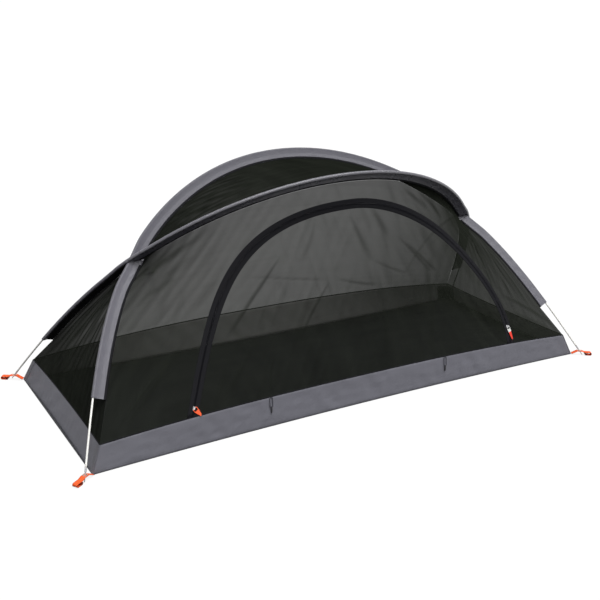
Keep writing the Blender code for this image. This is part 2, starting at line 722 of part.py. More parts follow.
class Panel:
    """Taut surface of a long net panel, kept as its y over x and shares of its height."""

    def __init__(self, side, edge):
        self.side = side
        self.edge = edge
        self.columns = np.linspace(edge[0, 0], edge[-1, 0], PANEL_COLUMNS + 1)
        self.shares = np.linspace(0, 1, PANEL_ROWS + 1)
        low, high = self.limits(self.columns)
        steps = self.shares[:, None]
        y = low[:, 1] * (1 - steps) + high[:, 0] * steps
        z = low[:, 2] * (1 - steps) + high[:, 1] * steps
        x = np.broadcast_to(self.columns, z.shape)
        across = 1 / (np.diff(x, axis=1) ** 2 + np.diff(z, axis=1) ** 2)
        upward = 1 / np.maximum(np.diff(z, axis=0), NET_THICKNESS) ** 2
        left, right = across[1:-1, :-1], across[1:-1, 1:]
        below, above = upward[:-1, 1:-1], upward[1:, 1:-1]
        total = left + right + below + above
        for _ in range(PANEL_ROUNDS):
            sides = left * y[1:-1, :-2] + right * y[1:-1, 2:]
            ends = below * y[:-2, 1:-1] + above * y[2:, 1:-1]
            y[1:-1, 1:-1] = (sides + ends) / total
        self.depths = y

    def limits(self, x):
        """Foot, and the y and z of the sewn edge, at the wanted x."""
        return wall_top(self.side, x), pick(self.edge[:, 1:], self.edge[:, 0], x)

    def at(self, x, z):
        """Points of the panel at x and z."""
        x = np.asarray(x, dtype=float)
        z = np.asarray(z, dtype=float)
        low, high = self.limits(x)
        share = (z - low[:, 2]) / np.maximum(high[:, 1] - low[:, 2], NET_THICKNESS)
        row = np.clip(share, 0, 1) * PANEL_ROWS
        column = np.interp(x, self.columns, np.arange(PANEL_COLUMNS + 1.0))
        first_row = np.minimum(row.astype(int), PANEL_ROWS - 1)
        first_column = np.minimum(column.astype(int), PANEL_COLUMNS - 1)
        up = row - first_row
        along = column - first_column
        lower = self.depths[first_row, first_column] * (1 - along)
        lower = lower + self.depths[first_row, first_column + 1] * along
        upper = self.depths[first_row + 1, first_column] * (1 - along)
        upper = upper + self.depths[first_row + 1, first_column + 1] * along
        y = lower * (1 - up) + upper * up
        slope = (high[:, 0] - low[:, 1]) / np.maximum(high[:, 1] - low[:, 2], NET_THICKNESS)
        y = y + slope * np.minimum(share, 0) * (high[:, 1] - low[:, 2])
        return np.stack([x, y, z], 1)


def build_rear_net(panel):
    """Whole rear panel, from the rear wall up to the rear arch."""
    edge = panel.edge
    inner = edge.copy()
    inner[0] += (edge[1] - edge[0]) * NET_CORNER_SHARE
    inner[-1] += (edge[-2] - edge[-1]) * NET_CORNER_SHARE
    low = wall_top(REAR, inner[:, 0]) + [0, 0, NET_FOOT_GAP]
    rows = []
    for share in np.linspace(0, 1, DOOR_ROWS + 1):
        flat = low * (1 - share) + inner * share
        rows.append(panel.at(flat[:, 0], flat[:, 2]))
    slab("net_rear", rows, NET_THICKNESS, "black_net")


def build_roof_net(rear_hoop):
    """Panel between the two arches, level across at every station."""
    start = rear_hoop.seam_crossing() + NET_TIP_GAP
    seam = rear_hoop.seam(rear_hoop.between(start, rear_hoop.length - start))
    seam = seam - [0, NET_SEAM_INSET, 0]
    rows = [seam * [1, share, 1] for share in (1, 0, -1)]
    slab("net_roof", rows, NET_THICKNESS, "black_net")


def build_end_net(end, name, rear_hoop):
    """Three-cornered panel between the two legs at one end."""
    stop = rear_hoop.seam_crossing() - NET_TIP_GAP
    seam = rear_hoop.seam(rear_hoop.between(SLEEVE_START, stop))
    seam = (seam + [0, NET_SEAM_INSET, 0]) * [-end, 1, 1]
    shares = np.linspace(0, 1, END_COLUMNS + 1)
    foot = end_wall_edges(end, wall_shares(FLOOR_WIDTH, END_COLUMNS))[1] + [0, 0, NET_FOOT_GAP]
    rows = [foot]
    for point in seam:
        rows.append([point * [1, 1 - 2 * share, 1] for share in shares])
    slab(name, rows, NET_THICKNESS, "black_net")


# Door and zip
def arch_line():
    """Zip's middle line, from below the left foot to below the right foot, in x and z."""
    top = np.array([DOOR_TOP_OFFSET, HOOP_HEIGHT - DOOR_TOP_DROP])
    halves = []
    for end in (LEFT, RIGHT):
        foot_x = end * (DOOR_LEFT_FOOT if end == LEFT else DOOR_RIGHT_FOOT)
        angle = DOOR_LEFT_LEG_ANGLE if end == LEFT else DOOR_RIGHT_LEG_ANGLE
        leg_reach = DOOR_LEFT_LEG_REACH if end == LEFT else DOOR_RIGHT_LEG_REACH
        top_reach = DOOR_LEFT_TOP_REACH if end == LEFT else DOOR_RIGHT_TOP_REACH
        foot = np.array([foot_x, wall_top(FRONT, [foot_x])[0, 2]])
        way = np.array([math.cos(angle), math.sin(angle)])
        share = np.linspace(0, 1, ARCH_STEPS)[:, None]
        rest = 1 - share
        line = rest ** 3 * foot
        line = line + 3 * rest ** 2 * share * (foot + leg_reach * way)
        line = line + 3 * rest * share ** 2 * (top + [end * top_reach, 0])
        line = line + share ** 3 * top
        halves.append(np.concatenate([[foot - way * DOOR_FOOT_OVERRUN], line]))
    return np.concatenate([halves[0], halves[1][::-1][1:]])


def beside_arch(line, offset):
    """Line beside the zip, further out for a positive offset, from wall top to wall top."""
    tangent = unit(np.gradient(line, axis=0))
    outward = np.stack([-tangent[:, 1], tangent[:, 0]], 1)
    moved = line + outward * offset
    above = moved[:, 1] - wall_top(FRONT, moved[:, 0])[:, 2] - NET_FOOT_GAP
    inside = np.nonzero(above > 0)[0]
    ends = []
    for outer, inner in ((inside[0] - 1, inside[0]), (inside[-1] + 1, inside[-1])):
        share = above[inner] / (above[inner] - above[outer])
        ends.append(moved[inner] + (moved[outer] - moved[inner]) * share)
    reach = lengths_along(line)
    stations = np.linspace(reach[1], reach[-2], ARCH_COLUMNS + 1)[1:-1]
    return np.concatenate([[ends[0]], pick(moved, reach, stations), [ends[1]]])


def build_tapes(panel, line):
    """Two halves of the zip, one sewn to the surround and one to the door."""
    near = ZIP_GAP / 2
    far = near + TAPE_WIDTH
    for name, sign in (("zip_tape_frame", 1), ("zip_tape_door", -1)):
        rows = [panel.at(*beside_arch(line, sign * place).T) for place in (near, far)]
        slab(name, rows, TAPE_THICKNESS, "black_tape")


def build_door(panel, line):
    """Net door inside the zip, hanging from its foot on the wall's top edge."""
    leg = beside_arch(line, -(ZIP_GAP / 2 + TAPE_WIDTH + TAPE_EDGE_GAP))
    arch = leg.copy()
    arch[0] += (leg[1] - leg[0]) * DOOR_CORNER_SHARE
    arch[-1] += (leg[-2] - leg[-1]) * DOOR_CORNER_SHARE
    hem_x = np.linspace(leg[0, 0], leg[-1, 0], ARCH_COLUMNS + 1)
    hem = np.stack([hem_x, wall_top(FRONT, hem_x)[:, 2] + NET_FOOT_GAP], 1)
    rows = []
    for share in np.linspace(0, 1, DOOR_ROWS + 1):
        flat = hem * (1 - share) + arch * share
        rows.append(panel.at(*flat.T))
    return rows


def surround_rim(edge, marks, line):
    """Outer edge of the surround, one point for each column beside the zip."""
    outer = beside_arch(line, ZIP_GAP / 2 + TAPE_WIDTH + TAPE_EDGE_GAP)
    crossing, apex = marks
    halves = []
    for end in (LEFT, RIGHT):
        line_half = edge if end == LEFT else edge[::-1]
        foot_x = outer[0, 0] if end == LEFT else outer[-1, 0]
        foot_x = np.linspace(foot_x + end * SURROUND_FOOT_STEP, line_half[0, 0], SURROUND_CORNER_COLUMN + 1)
        foot = wall_top(FRONT, foot_x) + [0, 0, NET_FOOT_GAP]
        legs = SURROUND_CROSSING_COLUMN - SURROUND_CORNER_COLUMN
        leg = resample(line_half[: crossing + 1], np.linspace(0, 1, legs + 1))
        tops = ARCH_COLUMNS // 2 - SURROUND_CROSSING_COLUMN
        top = resample(line_half[crossing: apex + 1], np.linspace(0, 1, tops + 1))
        halves.append(np.concatenate([foot, leg[1:], top[1:]]))
    return np.concatenate([halves[0], halves[1][::-1][1:]]), outer


def build_surround(panel, marks, line):
    """Fixed net around the door."""
    rim, arch = surround_rim(panel.edge, marks, line)
    rows = [rim]
    for share in np.linspace(0, 1, SURROUND_ROWS + 1)[1:]:
        flat = rim[:, [0, 2]] * (1 - share) + arch * share
        rows.append(panel.at(*flat.T))
    slab("net_front_surround", rows, NET_THICKNESS, "black_net")


def zip_place(panel, line, end):
    """Where a slider stands: its centre, its upward run, the way out and the way across."""
    rail = panel.at(*beside_arch(line, 0).T)
    place = SLIDER_LEFT_PLACE if end == LEFT else SLIDER_RIGHT_PLACE
    if end == RIGHT:
        rail = rail[::-1]
    reach = lengths_along(rail)
    low, high = pick(rail, reach, [place, place + SLIDER_TRAVEL])
    upward = unit(high - low)
    middle = (low + high) / 2
    beside_x = [middle[0] - SLIDER_WIDTH, middle[0] + SLIDER_WIDTH]
    beside = panel.at(beside_x, [middle[2]] * 2)
    outward = np.cross(beside[1] - beside[0], upward)
    outward = unit(outward if outward[1] < 0 else -outward)
    return low, upward, outward, np.cross(outward, upward)


def build_slider(name, place):
    """Zip slider: a body with a bail, through which the pull's bar passes."""
    low, upward, outward, across = place
    centre = low + outward * (TAPE_THICKNESS / 2 + SLIDER_LIFT)
    half = SLIDER_LENGTH / 2
    room = half - SLIDER_END_WALL
    under = SLIDER_HEIGHT - SLIDER_ROOF
    middle = (SLIDER_BASE + under) / 2
    body = SLIDER_WIDTH / 2
    bail = BAIL_WIDTH / 2
    outline = (
        (-half, 0.0, body),
        (half, 0.0, body),
        (half, SLIDER_BASE, bail),
        (half - SLIDER_CHAMFER, SLIDER_HEIGHT, bail),
        (SLIDER_CHAMFER - half, SLIDER_HEIGHT, bail),
        (-half, SLIDER_BASE, bail),
    )
    window = (
        (-room, SLIDER_BASE, bail),
        (room, SLIDER_BASE, bail),
        (room, middle, bail),
        (room - BAIL_CHAMFER, under, bail),
        (BAIL_CHAMFER - room, under, bail),
        (-room, middle, bail),
    )
    rings = []
    for shape in (outline, window):
        for hand in (LEFT, RIGHT):
            rings.append([centre + a * upward + b * outward + hand * c * across for a, b, c in shape])
    hollow(name, rings[:2], rings[2:], "slider_metal", centre)


def build_pull(name, place, turn, length):
    """Pull tab with a window, whose top bar runs through the slider's bail."""
    low, upward, outward, across = place
    rise = TAPE_THICKNESS / 2 + SLIDER_LIFT + (SLIDER_BASE + SLIDER_HEIGHT - SLIDER_ROOF) / 2
    centre = low + outward * rise
    plumb = np.array([0, 0, -1]) + outward * outward[2]
    flat = unit(plumb) * math.cos(turn) + unit(np.cross(outward, plumb)) * math.sin(turn)
    tip = math.asin(PULL_TIP_DROP / length)
    down = flat * math.cos(tip) - outward * math.sin(tip)
    face = flat * math.sin(tip) + outward * math.cos(tip)
    side = np.cross(down, face)
    wide = PULL_WIDTH / 2
    inner = PULL_WINDOW_WIDTH / 2
    bar = PULL_BAR / 2
    foot = bar + PULL_WINDOW_LENGTH
    end = PULL_TIP_WIDTH / 2
    outline = (
        (PULL_CHAMFER - wide, -bar), (wide - PULL_CHAMFER, -bar), (wide, PULL_CHAMFER - bar),
        (wide, foot + PULL_CHAMFER), (end, length), (-end, length),
        (-wide, foot + PULL_CHAMFER), (-wide, PULL_CHAMFER - bar),
    )
    window = (
        (PULL_CHAMFER - inner, bar), (inner - PULL_CHAMFER, bar), (inner, bar + PULL_CHAMFER),
        (inner, foot - PULL_CHAMFER), (inner - PULL_CHAMFER, foot), (PULL_CHAMFER - inner, foot),
        (-inner, foot - PULL_CHAMFER), (-inner, bar + PULL_CHAMFER),
    )
    layers = [centre - face * PULL_THICKNESS / 2, centre + face * PULL_THICKNESS / 2]
    outers = [placed(layer, side, down, outline) for layer in layers]
    bores = [placed(layer, side, down, window) for layer in layers]
    hollow(name, outers, bores, "orange_pull", centre)


# Ties for the rolled door
def build_tie(label, x):
    """Cord loop sewn to the front wall's top, and the toggle that swings on it."""
    share = np.array([x / (FLOOR_LENGTH - 2 * CORNER_LEAN_ALONG) + 1 / 2])
    foot, top = (edge[0] for edge in side_wall_edges(FRONT, share))
    down = unit((foot - top) * [0, 1, 1])
    outward = np.cross(down, [1, 0, 0])
    outward = outward if outward[1] < 0 else -outward
    face = top + outward * SHEET_THICKNESS / 2
    first = face + down * TIE_DROP + outward * (TIE_CORD_RADIUS + SEAT_GAP)
    last = face + down * (TIE_DROP + TIE_LOOP_LENGTH) + outward * (TOGGLE_RADIUS + SEAT_GAP)
    middle = (first + last) / 2
    along = unit(last - first)
    across = np.array([1.0, 0.0, 0.0])
    normal = np.cross(across, along)
    half_wide = (TIE_LOOP_WIDTH / 2) - TIE_CORD_RADIUS - TIE_LOOP_CORNER
    half_long = np.linalg.norm(last - first) / 2 - TIE_LOOP_CORNER
    points = []
    for corner, (right, low) in enumerate(((1, 1), (-1, 1), (-1, -1), (1, -1))):
        for step in range(TIE_CORNER_STEPS + 1):
            angle = (corner + step / TIE_CORNER_STEPS) * math.pi / 2
            outer = across * math.cos(angle) + along * math.sin(angle)
            centre = middle + across * right * half_wide + along * low * half_long
            centre = centre + outer * TIE_LOOP_CORNER
            points += placed(centre, outer, normal, polygon(TIE_CORD_RADIUS, TIE_SIDES))
    count = len(points) // TIE_SIDES
    faces = []
    for station in range(count):
        faces += ring_faces(station * TIE_SIDES, (station + 1) % count * TIE_SIDES, TIE_SIDES)
    add_mesh(f"tie_loop_{label}", points, faces, "tie_cord")
    dome = [(share * TOGGLE_RADIUS, size * TOGGLE_RADIUS) for share, size in TOGGLE_DOME_SHARES]
    profile = dome + [(TOGGLE_LENGTH - place, size) for place, size in dome[::-1]]
    centres = [last + down * (place - TOGGLE_RADIUS) for place, _ in profile]
    rings = [polygon(size, ROUND_SIDES) for _, size in profile]
    ways = [across] * len(profile), [outward] * len(profile)
    toggle = sweep(f"toggle_{label}", centres, *ways, rings, "toggle_plastic", last)
    half = across * 2 * TOGGLE_RADIUS
    cut(toggle, f"toggle_hole_{label}", last, half, down, outward, TOGGLE_HOLE_RADIUS, ROUND_SIDES)


# Corner straps
def strap_line(reach):
    """Side view of a strap as distances from the corner and heights."""
    line = [(STRAP_CORNER_GAP, STRAP_START_HEIGHT)]
    line.append((reach - STRAP_FLAT_HALF, STRAP_HEIGHT))
    line.append((reach + STRAP_FLAT_HALF, STRAP_HEIGHT))
    low = LOOP_GROUND_GAP + STRAP_THICKNESS / 2
    high = LOOP_GROUND_GAP + LOOP_HEIGHT - STRAP_THICKNESS / 2
    near = reach + STRAP_FLAT_HALF + STRAP_TAIL
    line.append((near, high))
    far_radius = (high - low) / 2
    end = near + LOOP_LENGTH - far_radius - STRAP_THICKNESS / 2
    for step in range(LOOP_TURN_STEPS + 1):
        angle = math.pi * step / LOOP_TURN_STEPS
        line.append((end + far_radius * math.sin(angle), low + far_radius * (1 + math.cos(angle))))
    near_radius = (high - STRAP_THICKNESS - END_GAP - low) / 2
    for step in range(LOOP_TURN_STEPS + 1):
        angle = math.pi * step / LOOP_TURN_STEPS
        line.append((near + near_radius * (1 - math.sin(angle)), low + near_radius * (1 - math.cos(angle))))
    line.append((near + near_radius + LOOP_LAP, low + 2 * near_radius))
    return line


def build_strap(hoop, end, label):
    """Corner strap with a loop at its end, and the eyelet that holds the pole's tip."""
    feet = hoop.points if end == LEFT else hoop.points[::-1]
    rise = feet[1] - feet[0]
    hole = feet[0] + rise * STRAP_HEIGHT / rise[2]
    corner = np.array([end * FLOOR_LENGTH / 2, -hoop.side * FLOOR_WIDTH / 2, 0])
    run = (hole - corner) * [1, 1, 0]
    reach = np.linalg.norm(run)
    away = unit(run)
    across = np.array([-away[1], away[0], 0])
    rows = []
    for hand in (LEFT, RIGHT):
        side = corner + across * hand * STRAP_WIDTH / 2
        rows.append([side + away * far + np.array([0, 0, height]) for far, height in strap_line(reach)])
    strap = slab(f"strap_{label}", rows, STRAP_THICKNESS, "orange_webbing")
    x_way = np.array([1.0, 0.0, 0.0])
    y_way = np.array([0.0, 1.0, 0.0])
    half = np.array([0, 0, STRAP_THICKNESS])
    cut(strap, f"strap_hole_{label}", hole, half, x_way, y_way, EYELET_BARREL_RADIUS + SEAT_GAP, EYELET_SIDES)
    inner = STRAP_THICKNESS / 2 + SEAT_GAP
    outer = inner + EYELET_FLANGE_THICKNESS
    profile = (
        (EYELET_BORE_RADIUS, -outer), (EYELET_FLANGE_RADIUS, -outer), (EYELET_FLANGE_RADIUS, -inner),
        (EYELET_BARREL_RADIUS, -inner), (EYELET_BARREL_RADIUS, inner), (EYELET_FLANGE_RADIUS, inner),
        (EYELET_FLANGE_RADIUS, outer), (EYELET_BORE_RADIUS, outer),
    )
    turned(f"eyelet_{label}", hole, profile, EYELET_SIDES, "eyelet_steel")


# Corner pocket
def build_pocket():
    """Flat pocket sewn across the inside of the far right corner."""
    along = 1 - np.array([POCKET_ALONG, POCKET_ALONG / 2]) / FLOOR_LENGTH
    across = 1 - np.array([POCKET_ACROSS / 2, POCKET_ACROSS]) / FLOOR_WIDTH
    inset = np.array([POCKET_STANDOFF, 0, 0]), np.array([0, POCKET_STANDOFF, 0])
    rear = [edge - inset[1] for edge in side_wall_edges(REAR, along)]
    side = [edge - inset[0] for edge in end_wall_edges(RIGHT, across)]
    corner = [edge - inset[0] - inset[1] for edge in side_wall_edges(REAR, [1.0])]
    rows = []
    for share in (POCKET_FOOT_SHARE, (POCKET_FOOT_SHARE + POCKET_TOP_SHARE) / 2, POCKET_TOP_SHARE):
        row = []
        for low, high in (rear, corner, side):
            row += list(low * (1 - share) + high * share)
        rows.append(row)
    slab("corner_pocket", rows, NET_THICKNESS, "black_fabric")


def main():
    """Build every piece."""
    clear_scene()
    build_groundsheet()
    build_walls()
    rear_hoop = Hoop(REAR)
    front_hoop = Hoop(FRONT)
    for hoop, label in ((rear_hoop, "rear"), (front_hoop, "front")):
        build_pole(hoop, label)
        build_sleeve(hoop, label)
    rear_edge, _ = sewn_edge(REAR, front_hoop, rear_hoop)
    front_edge, marks = sewn_edge(FRONT, rear_hoop, front_hoop)
    front = Panel(FRONT, front_edge)
    build_rear_net(Panel(REAR, rear_edge))
    build_roof_net(rear_hoop)
    build_end_net(LEFT, "net_left_end", rear_hoop)
    build_end_net(RIGHT, "net_right_end", rear_hoop)
    line = arch_line()
    build_tapes(front, line)
    hinge = np.array([0, DOOR_HINGE_INSET - FLOOR_WIDTH / 2, CORNER_WALL_HEIGHT + DOOR_HINGE_RISE])
    slab("net_door", build_door(front, line), NET_THICKNESS, "black_net", hinge)
    build_surround(front, marks, line)
    left_place = zip_place(front, line, LEFT)
    build_slider("zip_slider_left", left_place)
    build_pull("zip_pull_left", left_place, PULL_LEFT_TURN, PULL_LEFT_LENGTH)
    right_place = zip_place(front, line, RIGHT)
    build_slider("zip_slider_right", right_place)
    build_pull("zip_pull_right", right_place, PULL_RIGHT_TURN, PULL_RIGHT_LENGTH)
    build_tie("left", TIE_LEFT)
    build_tie("right", TIE_RIGHT)
    for end, label in ((LEFT, "left"), (RIGHT, "right")):
        build_strap(rear_hoop, end, f"front_{label}")
        build_strap(front_hoop, end, f"rear_{label}")
    build_pocket()


main()
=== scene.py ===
import math

import bpy
import numpy as np
from mathutils import Matrix, Vector


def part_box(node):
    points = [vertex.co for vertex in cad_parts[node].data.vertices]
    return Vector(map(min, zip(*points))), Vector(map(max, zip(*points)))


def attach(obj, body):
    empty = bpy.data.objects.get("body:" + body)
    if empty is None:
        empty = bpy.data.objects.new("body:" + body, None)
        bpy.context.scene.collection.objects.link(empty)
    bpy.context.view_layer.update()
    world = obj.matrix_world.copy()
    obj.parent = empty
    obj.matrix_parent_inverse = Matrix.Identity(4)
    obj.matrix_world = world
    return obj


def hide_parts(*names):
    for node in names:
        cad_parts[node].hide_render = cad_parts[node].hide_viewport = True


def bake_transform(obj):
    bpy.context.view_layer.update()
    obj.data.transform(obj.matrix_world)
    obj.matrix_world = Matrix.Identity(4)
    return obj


bl_info = {
    "name": "Mosquito net tent",
    "version": (1, 0, 0),
    "blender": (4, 5, 0),
    "location": "View3D > Sidebar > Net tent",
    "description": "Dresses the packed net tent: fabric, net, zip, poles, webbing, stage and camera",
    "category": "Object",
}

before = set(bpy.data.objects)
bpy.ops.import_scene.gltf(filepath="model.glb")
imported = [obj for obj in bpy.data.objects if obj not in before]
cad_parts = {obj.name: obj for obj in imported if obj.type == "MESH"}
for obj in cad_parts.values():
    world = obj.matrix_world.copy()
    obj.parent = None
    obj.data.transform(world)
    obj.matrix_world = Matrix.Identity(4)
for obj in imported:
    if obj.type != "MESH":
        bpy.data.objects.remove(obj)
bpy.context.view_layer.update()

# Floor and walls, as in the part
FLOOR_LENGTH = 2.20
FLOOR_WIDTH = 0.848
SIDE_BASE_BOW = 0.028
END_BASE_BOW = 0.008
CORNER_WALL_HEIGHT = 0.090
FRONT_WALL_HEIGHT = 0.118
REAR_WALL_HEIGHT = 0.146
END_WALL_HEIGHT = 0.089
CORNER_LEAN_ALONG = 0.038
CORNER_LEAN_ACROSS = 0.026
SIDE_TOP_INSET = 0.035
END_TOP_INSET = 0.046
WALL_STAND = 0.0004

# Hoops, as in the part
HOOP_HALF_SPAN = 1.138
HOOP_HEIGHT = 0.879
HOOP_FOOT_REACH = 0.458
HOOP_TOP_LEAN = 0.264
HOOP_FOOT_ANGLE = math.radians(62.6)
HOOP_BOW_SHARE = -0.078
BEND_STATION_SHARES = (0.0, 0.33, 0.66, 1.0)
BEND_SHARES = (0.03, 1.84, 1.20, 1.00)
CURVE_STEPS = 600
CROSSING_STANDOFF = 0.0059
CROSSING_EASE = 0.125
CROSSING_LEVEL_SHARE = 0.13
TIP_LENGTH = 0.050
POLE_RADIUS = 0.0035
BAND_WIDTH = 0.0445
TUNNEL_RADIUS = 0.0062
SLEEVE_START = 0.284
NET_SEAM_INSET = 0.0018
NET_AIM_HEIGHT = 0.25
NET_AIM_REACH = 0.35

# Door arch and zip, as in the part
DOOR_FEET = (-0.726, 0.754)
DOOR_TOP = (0.009, 0.759)
DOOR_LEG_ANGLES = (math.radians(63.5), math.radians(76.0))
DOOR_LEG_REACHES = (0.415, 0.315)
DOOR_TOP_REACHES = (0.458, 0.305)
DOOR_FOOT_OVERRUN = 0.05
TAPE_WIDTH = 0.016
ZIP_GAP = 0.0016
TAPE_EDGE_GAP = 0.0009
SURROUND_FOOT_STEP = 0.012

# Small parts, as in the part
TIE_PLACES = (-0.414, 0.397)
STRAP_WIDTH = 0.020
STRAP_THICKNESS = 0.0016
STRAP_HEIGHT = 0.018
STRAP_CORNER_GAP = 0.0014
STRAP_FLAT_HALF = 0.0105
STRAP_START_HEIGHT = 0.0045
STRAP_TAIL = 0.013
LOOP_LENGTH = 0.030
LOOP_HEIGHT = 0.0135
LOOP_GROUND_GAP = 0.0005
LOOP_LAP = 0.010

# Cloth details
FLOOR_LIFT = 0.0011
FLOOR_WAVE = 0.0022
WALL_STITCHES = (0.006, 0.010)
CORNER_STITCHES = (0.004,)
BINDING_RADIUS = 0.0021
BINDING_PITCH = 0.0016
BINDING_SECTION = ((-1.0, 0.0010), (-0.9, 0.0015), (-0.1, 0.0014), (0.15, 0.0), (-0.1, -0.0014),
                   (-0.9, -0.0015), (-1.0, -0.0010))
CORNER_SIDE_STEPS = (0.004, 0.002, 0.0)
CORNER_END_STEPS = (0.002, 0.012, 0.022, 0.030, 0.031)
CORNER_LIFTS = (0.0006, 0.0014, 0.0020, 0.0016, 0.0014, 0.0014, 0.0012, 0.0004)
BAND_SECTION = ((1.0, 0.0007), (0.80, 0.0007), (0.55, 0.0007), (0.38, 0.0008))
TUNNEL_ANGLES = (66, 90, 115, 140, 160, 180, 200, 220, 245, 270, 294)
BAND_PUCKER = 0.00045
TUNNEL_PUCKER = 0.00027
SLEEVE_STITCHES = (0.0180, 0.0360)
# Painted shade: near black on the inner face of the leg sleeves' bands, where shade falls inside the tent.
SLEEVE_INNER_SHADE = (0.006, 0.006, 0.007)
POCKET_REACHES = (0.070, 0.050)
POCKET_STAND = 0.0026
POCKET_SAG = 0.003
NET_FOOT_GAP = 0.0004
NET_END_GAP = 0.002
STITCH_REACH = 0.0007
STITCH_SHARE = 0.68
GROOVE_REACH = 0.0030
COIL_PITCH = 0.0022
COIL_NEAR = 0.0001
COIL_FAR = 0.0034
TAPE_RIBS = 0.0014
TAPE_THICKNESS = 0.0010
FABRIC_THICKNESS = 0.0008
SLEEVE_LEG_LAP = 0.012
SLEEVE_ARCH_LAP = 0.002
CROSSING_TAB_START = 0.006
CROSSING_TAB_THICKNESS = 0.0012
TIE_RADIUS = 0.0012
TIE_HALF = 0.0058
TIE_CORNER = 0.003
TIE_END_GAP = 0.0006
TIE_DROPS = (0.003, 0.039)
TIE_STANDS = (0.00225, 0.00425)
WEBBING_RIBS = 0.0018
WEBBING_THICKNESS = 0.0014
WEBBING_CUP = 0.0006
# Painted shade on the webbing's folded loop: beyond this distance along the strap the colour turns dark red.
WEBBING_LOOP_SHADE = (0.118, (0.16, 0.022, 0.012, 1.0))
LOOP_AIR = 0.0004

# Stage
STAGE_HALF = 220.0
STAGE_LEVEL = -0.0012
STAGE_GLOW = 0.885
LAMP_PLACE = (-1.4, -2.0, 3.4)
LAMP_WAY = (-0.45, 1.25, -3.0)
LAMP_SPREAD = math.radians(45)
SENSOR_WIDTH = 36.0
WHITE = (1.0, 1.0, 1.0, 1.0)

# Sheets before sewing, width and length
LONG_NET_FLAT = (2.12, 0.76)
ROOF_NET_FLAT = (0.50, 1.66)
END_NET_FLAT = (0.84, 0.56)
DOOR_FLAT = (1.46, 0.67)

REAR = 1
FRONT = -1
LEFT = -1
RIGHT = 1
SHELTER = "shelter"
DOOR = "door"
HEM = (SHELTER, DOOR)

# Folds in the nets: start, middle and end as x and z, then half width and depth
FOLD_GATHER = 0.0060
SURROUND_FOLDS = (
    (-0.820, 0.478, -0.668, 0.590, -0.522, 0.706, 0.009, 0.0044),
    (-0.780, 0.512, -0.712, 0.562, -0.630, 0.630, 0.010, 0.0018),
    (-0.815, 0.440, -0.750, 0.482, -0.670, 0.532, 0.009, 0.0028),
    (-0.745, 0.498, -0.665, 0.556, -0.590, 0.610, 0.012, 0.0016),
    (-0.991, 0.115, -0.879, 0.202, -0.690, 0.335, 0.009, 0.0030),
    (-0.962, 0.121, -0.851, 0.203, -0.710, 0.318, 0.010, 0.0026),
    (0.775, 0.285, 0.890, 0.223, 1.025, 0.131, 0.010, 0.0034),
    (0.800, 0.222, 0.881, 0.180, 0.994, 0.125, 0.009, 0.0028),
    (0.261, 0.790, 0.330, 0.740, 0.400, 0.690, 0.012, 0.0024),
    (0.360, 0.760, 0.430, 0.700, 0.500, 0.630, 0.012, 0.0024),
)
DOOR_FOLDS = (
    (-0.300, 0.596, -0.423, 0.462, -0.545, 0.335, 0.008, 0.0052),
    (-0.115, 0.480, -0.184, 0.403, -0.250, 0.312, 0.007, 0.0046),
    (-0.155, 0.709, -0.189, 0.624, -0.227, 0.567, 0.012, 0.0020),
    (-0.379, 0.238, -0.404, 0.186, -0.407, 0.131, 0.007, 0.0026),
    (-0.450, 0.300, -0.520, 0.220, -0.600, 0.140, 0.012, 0.0016),
    (0.100, 0.450, 0.120, 0.300, 0.100, 0.160, 0.020, 0.0018),
    (0.350, 0.500, 0.360, 0.350, 0.340, 0.200, 0.020, 0.0018),
)
REAR_FOLDS = (
    (0.600, 0.436, 0.729, 0.329, 0.882, 0.200, 0.009, 0.0030),
    (0.656, 0.400, 0.781, 0.301, 0.919, 0.195, 0.008, 0.0022),
    (0.520, 0.315, 0.633, 0.256, 0.753, 0.203, 0.009, 0.0018),
    (0.359, 0.230, 0.476, 0.190, 0.601, 0.158, 0.010, 0.0026),
    (0.430, 0.596, 0.488, 0.522, 0.551, 0.440, 0.014, 0.0030),
    (-0.121, 0.316, 0.096, 0.272, 0.303, 0.234, 0.007, 0.0020),
    (0.336, 0.567, 0.427, 0.432, 0.519, 0.303, 0.015, 0.0028),
    (-0.860, 0.300, -0.630, 0.470, -0.400, 0.620, 0.016, 0.0008),
    (-0.900, 0.240, -0.730, 0.390, -0.560, 0.520, 0.014, 0.0008),
)


# Settings that a user would change
class TentCloth(bpy.types.PropertyGroup):
    """Sizes of the cloth's detail."""

    weave: bpy.props.FloatProperty(
        name="Weave", description="Distance between the threads of the woven fabric",
        default=0.0008, min=0.0002, subtype="DISTANCE", unit="LENGTH")
    stitch: bpy.props.FloatProperty(
        name="Stitch", description="Length of one stitch",
        default=0.0030, min=0.001, subtype="DISTANCE", unit="LENGTH")
    binding: bpy.props.FloatProperty(
        name="Binding", description="Width of the black tape on the net's edges",
        default=0.0085, min=0.003, subtype="DISTANCE", unit="LENGTH")
    net_cover: bpy.props.FloatProperty(
        name="Net cover", description="Share of the net's pitch that one thread covers",
        default=0.418, min=0.05, max=0.9, subtype="FACTOR")
    net_fold: bpy.props.FloatProperty(
        name="Net folds", description="Depth of the folds, against the listed depths",
        default=1.0, min=0.0, max=2.0, subtype="FACTOR")
    wall_fold: bpy.props.FloatProperty(
        name="Wall creases", description="Depth of the soft creases in the walls",
        default=0.0016, min=0.0, subtype="DISTANCE", unit="LENGTH")


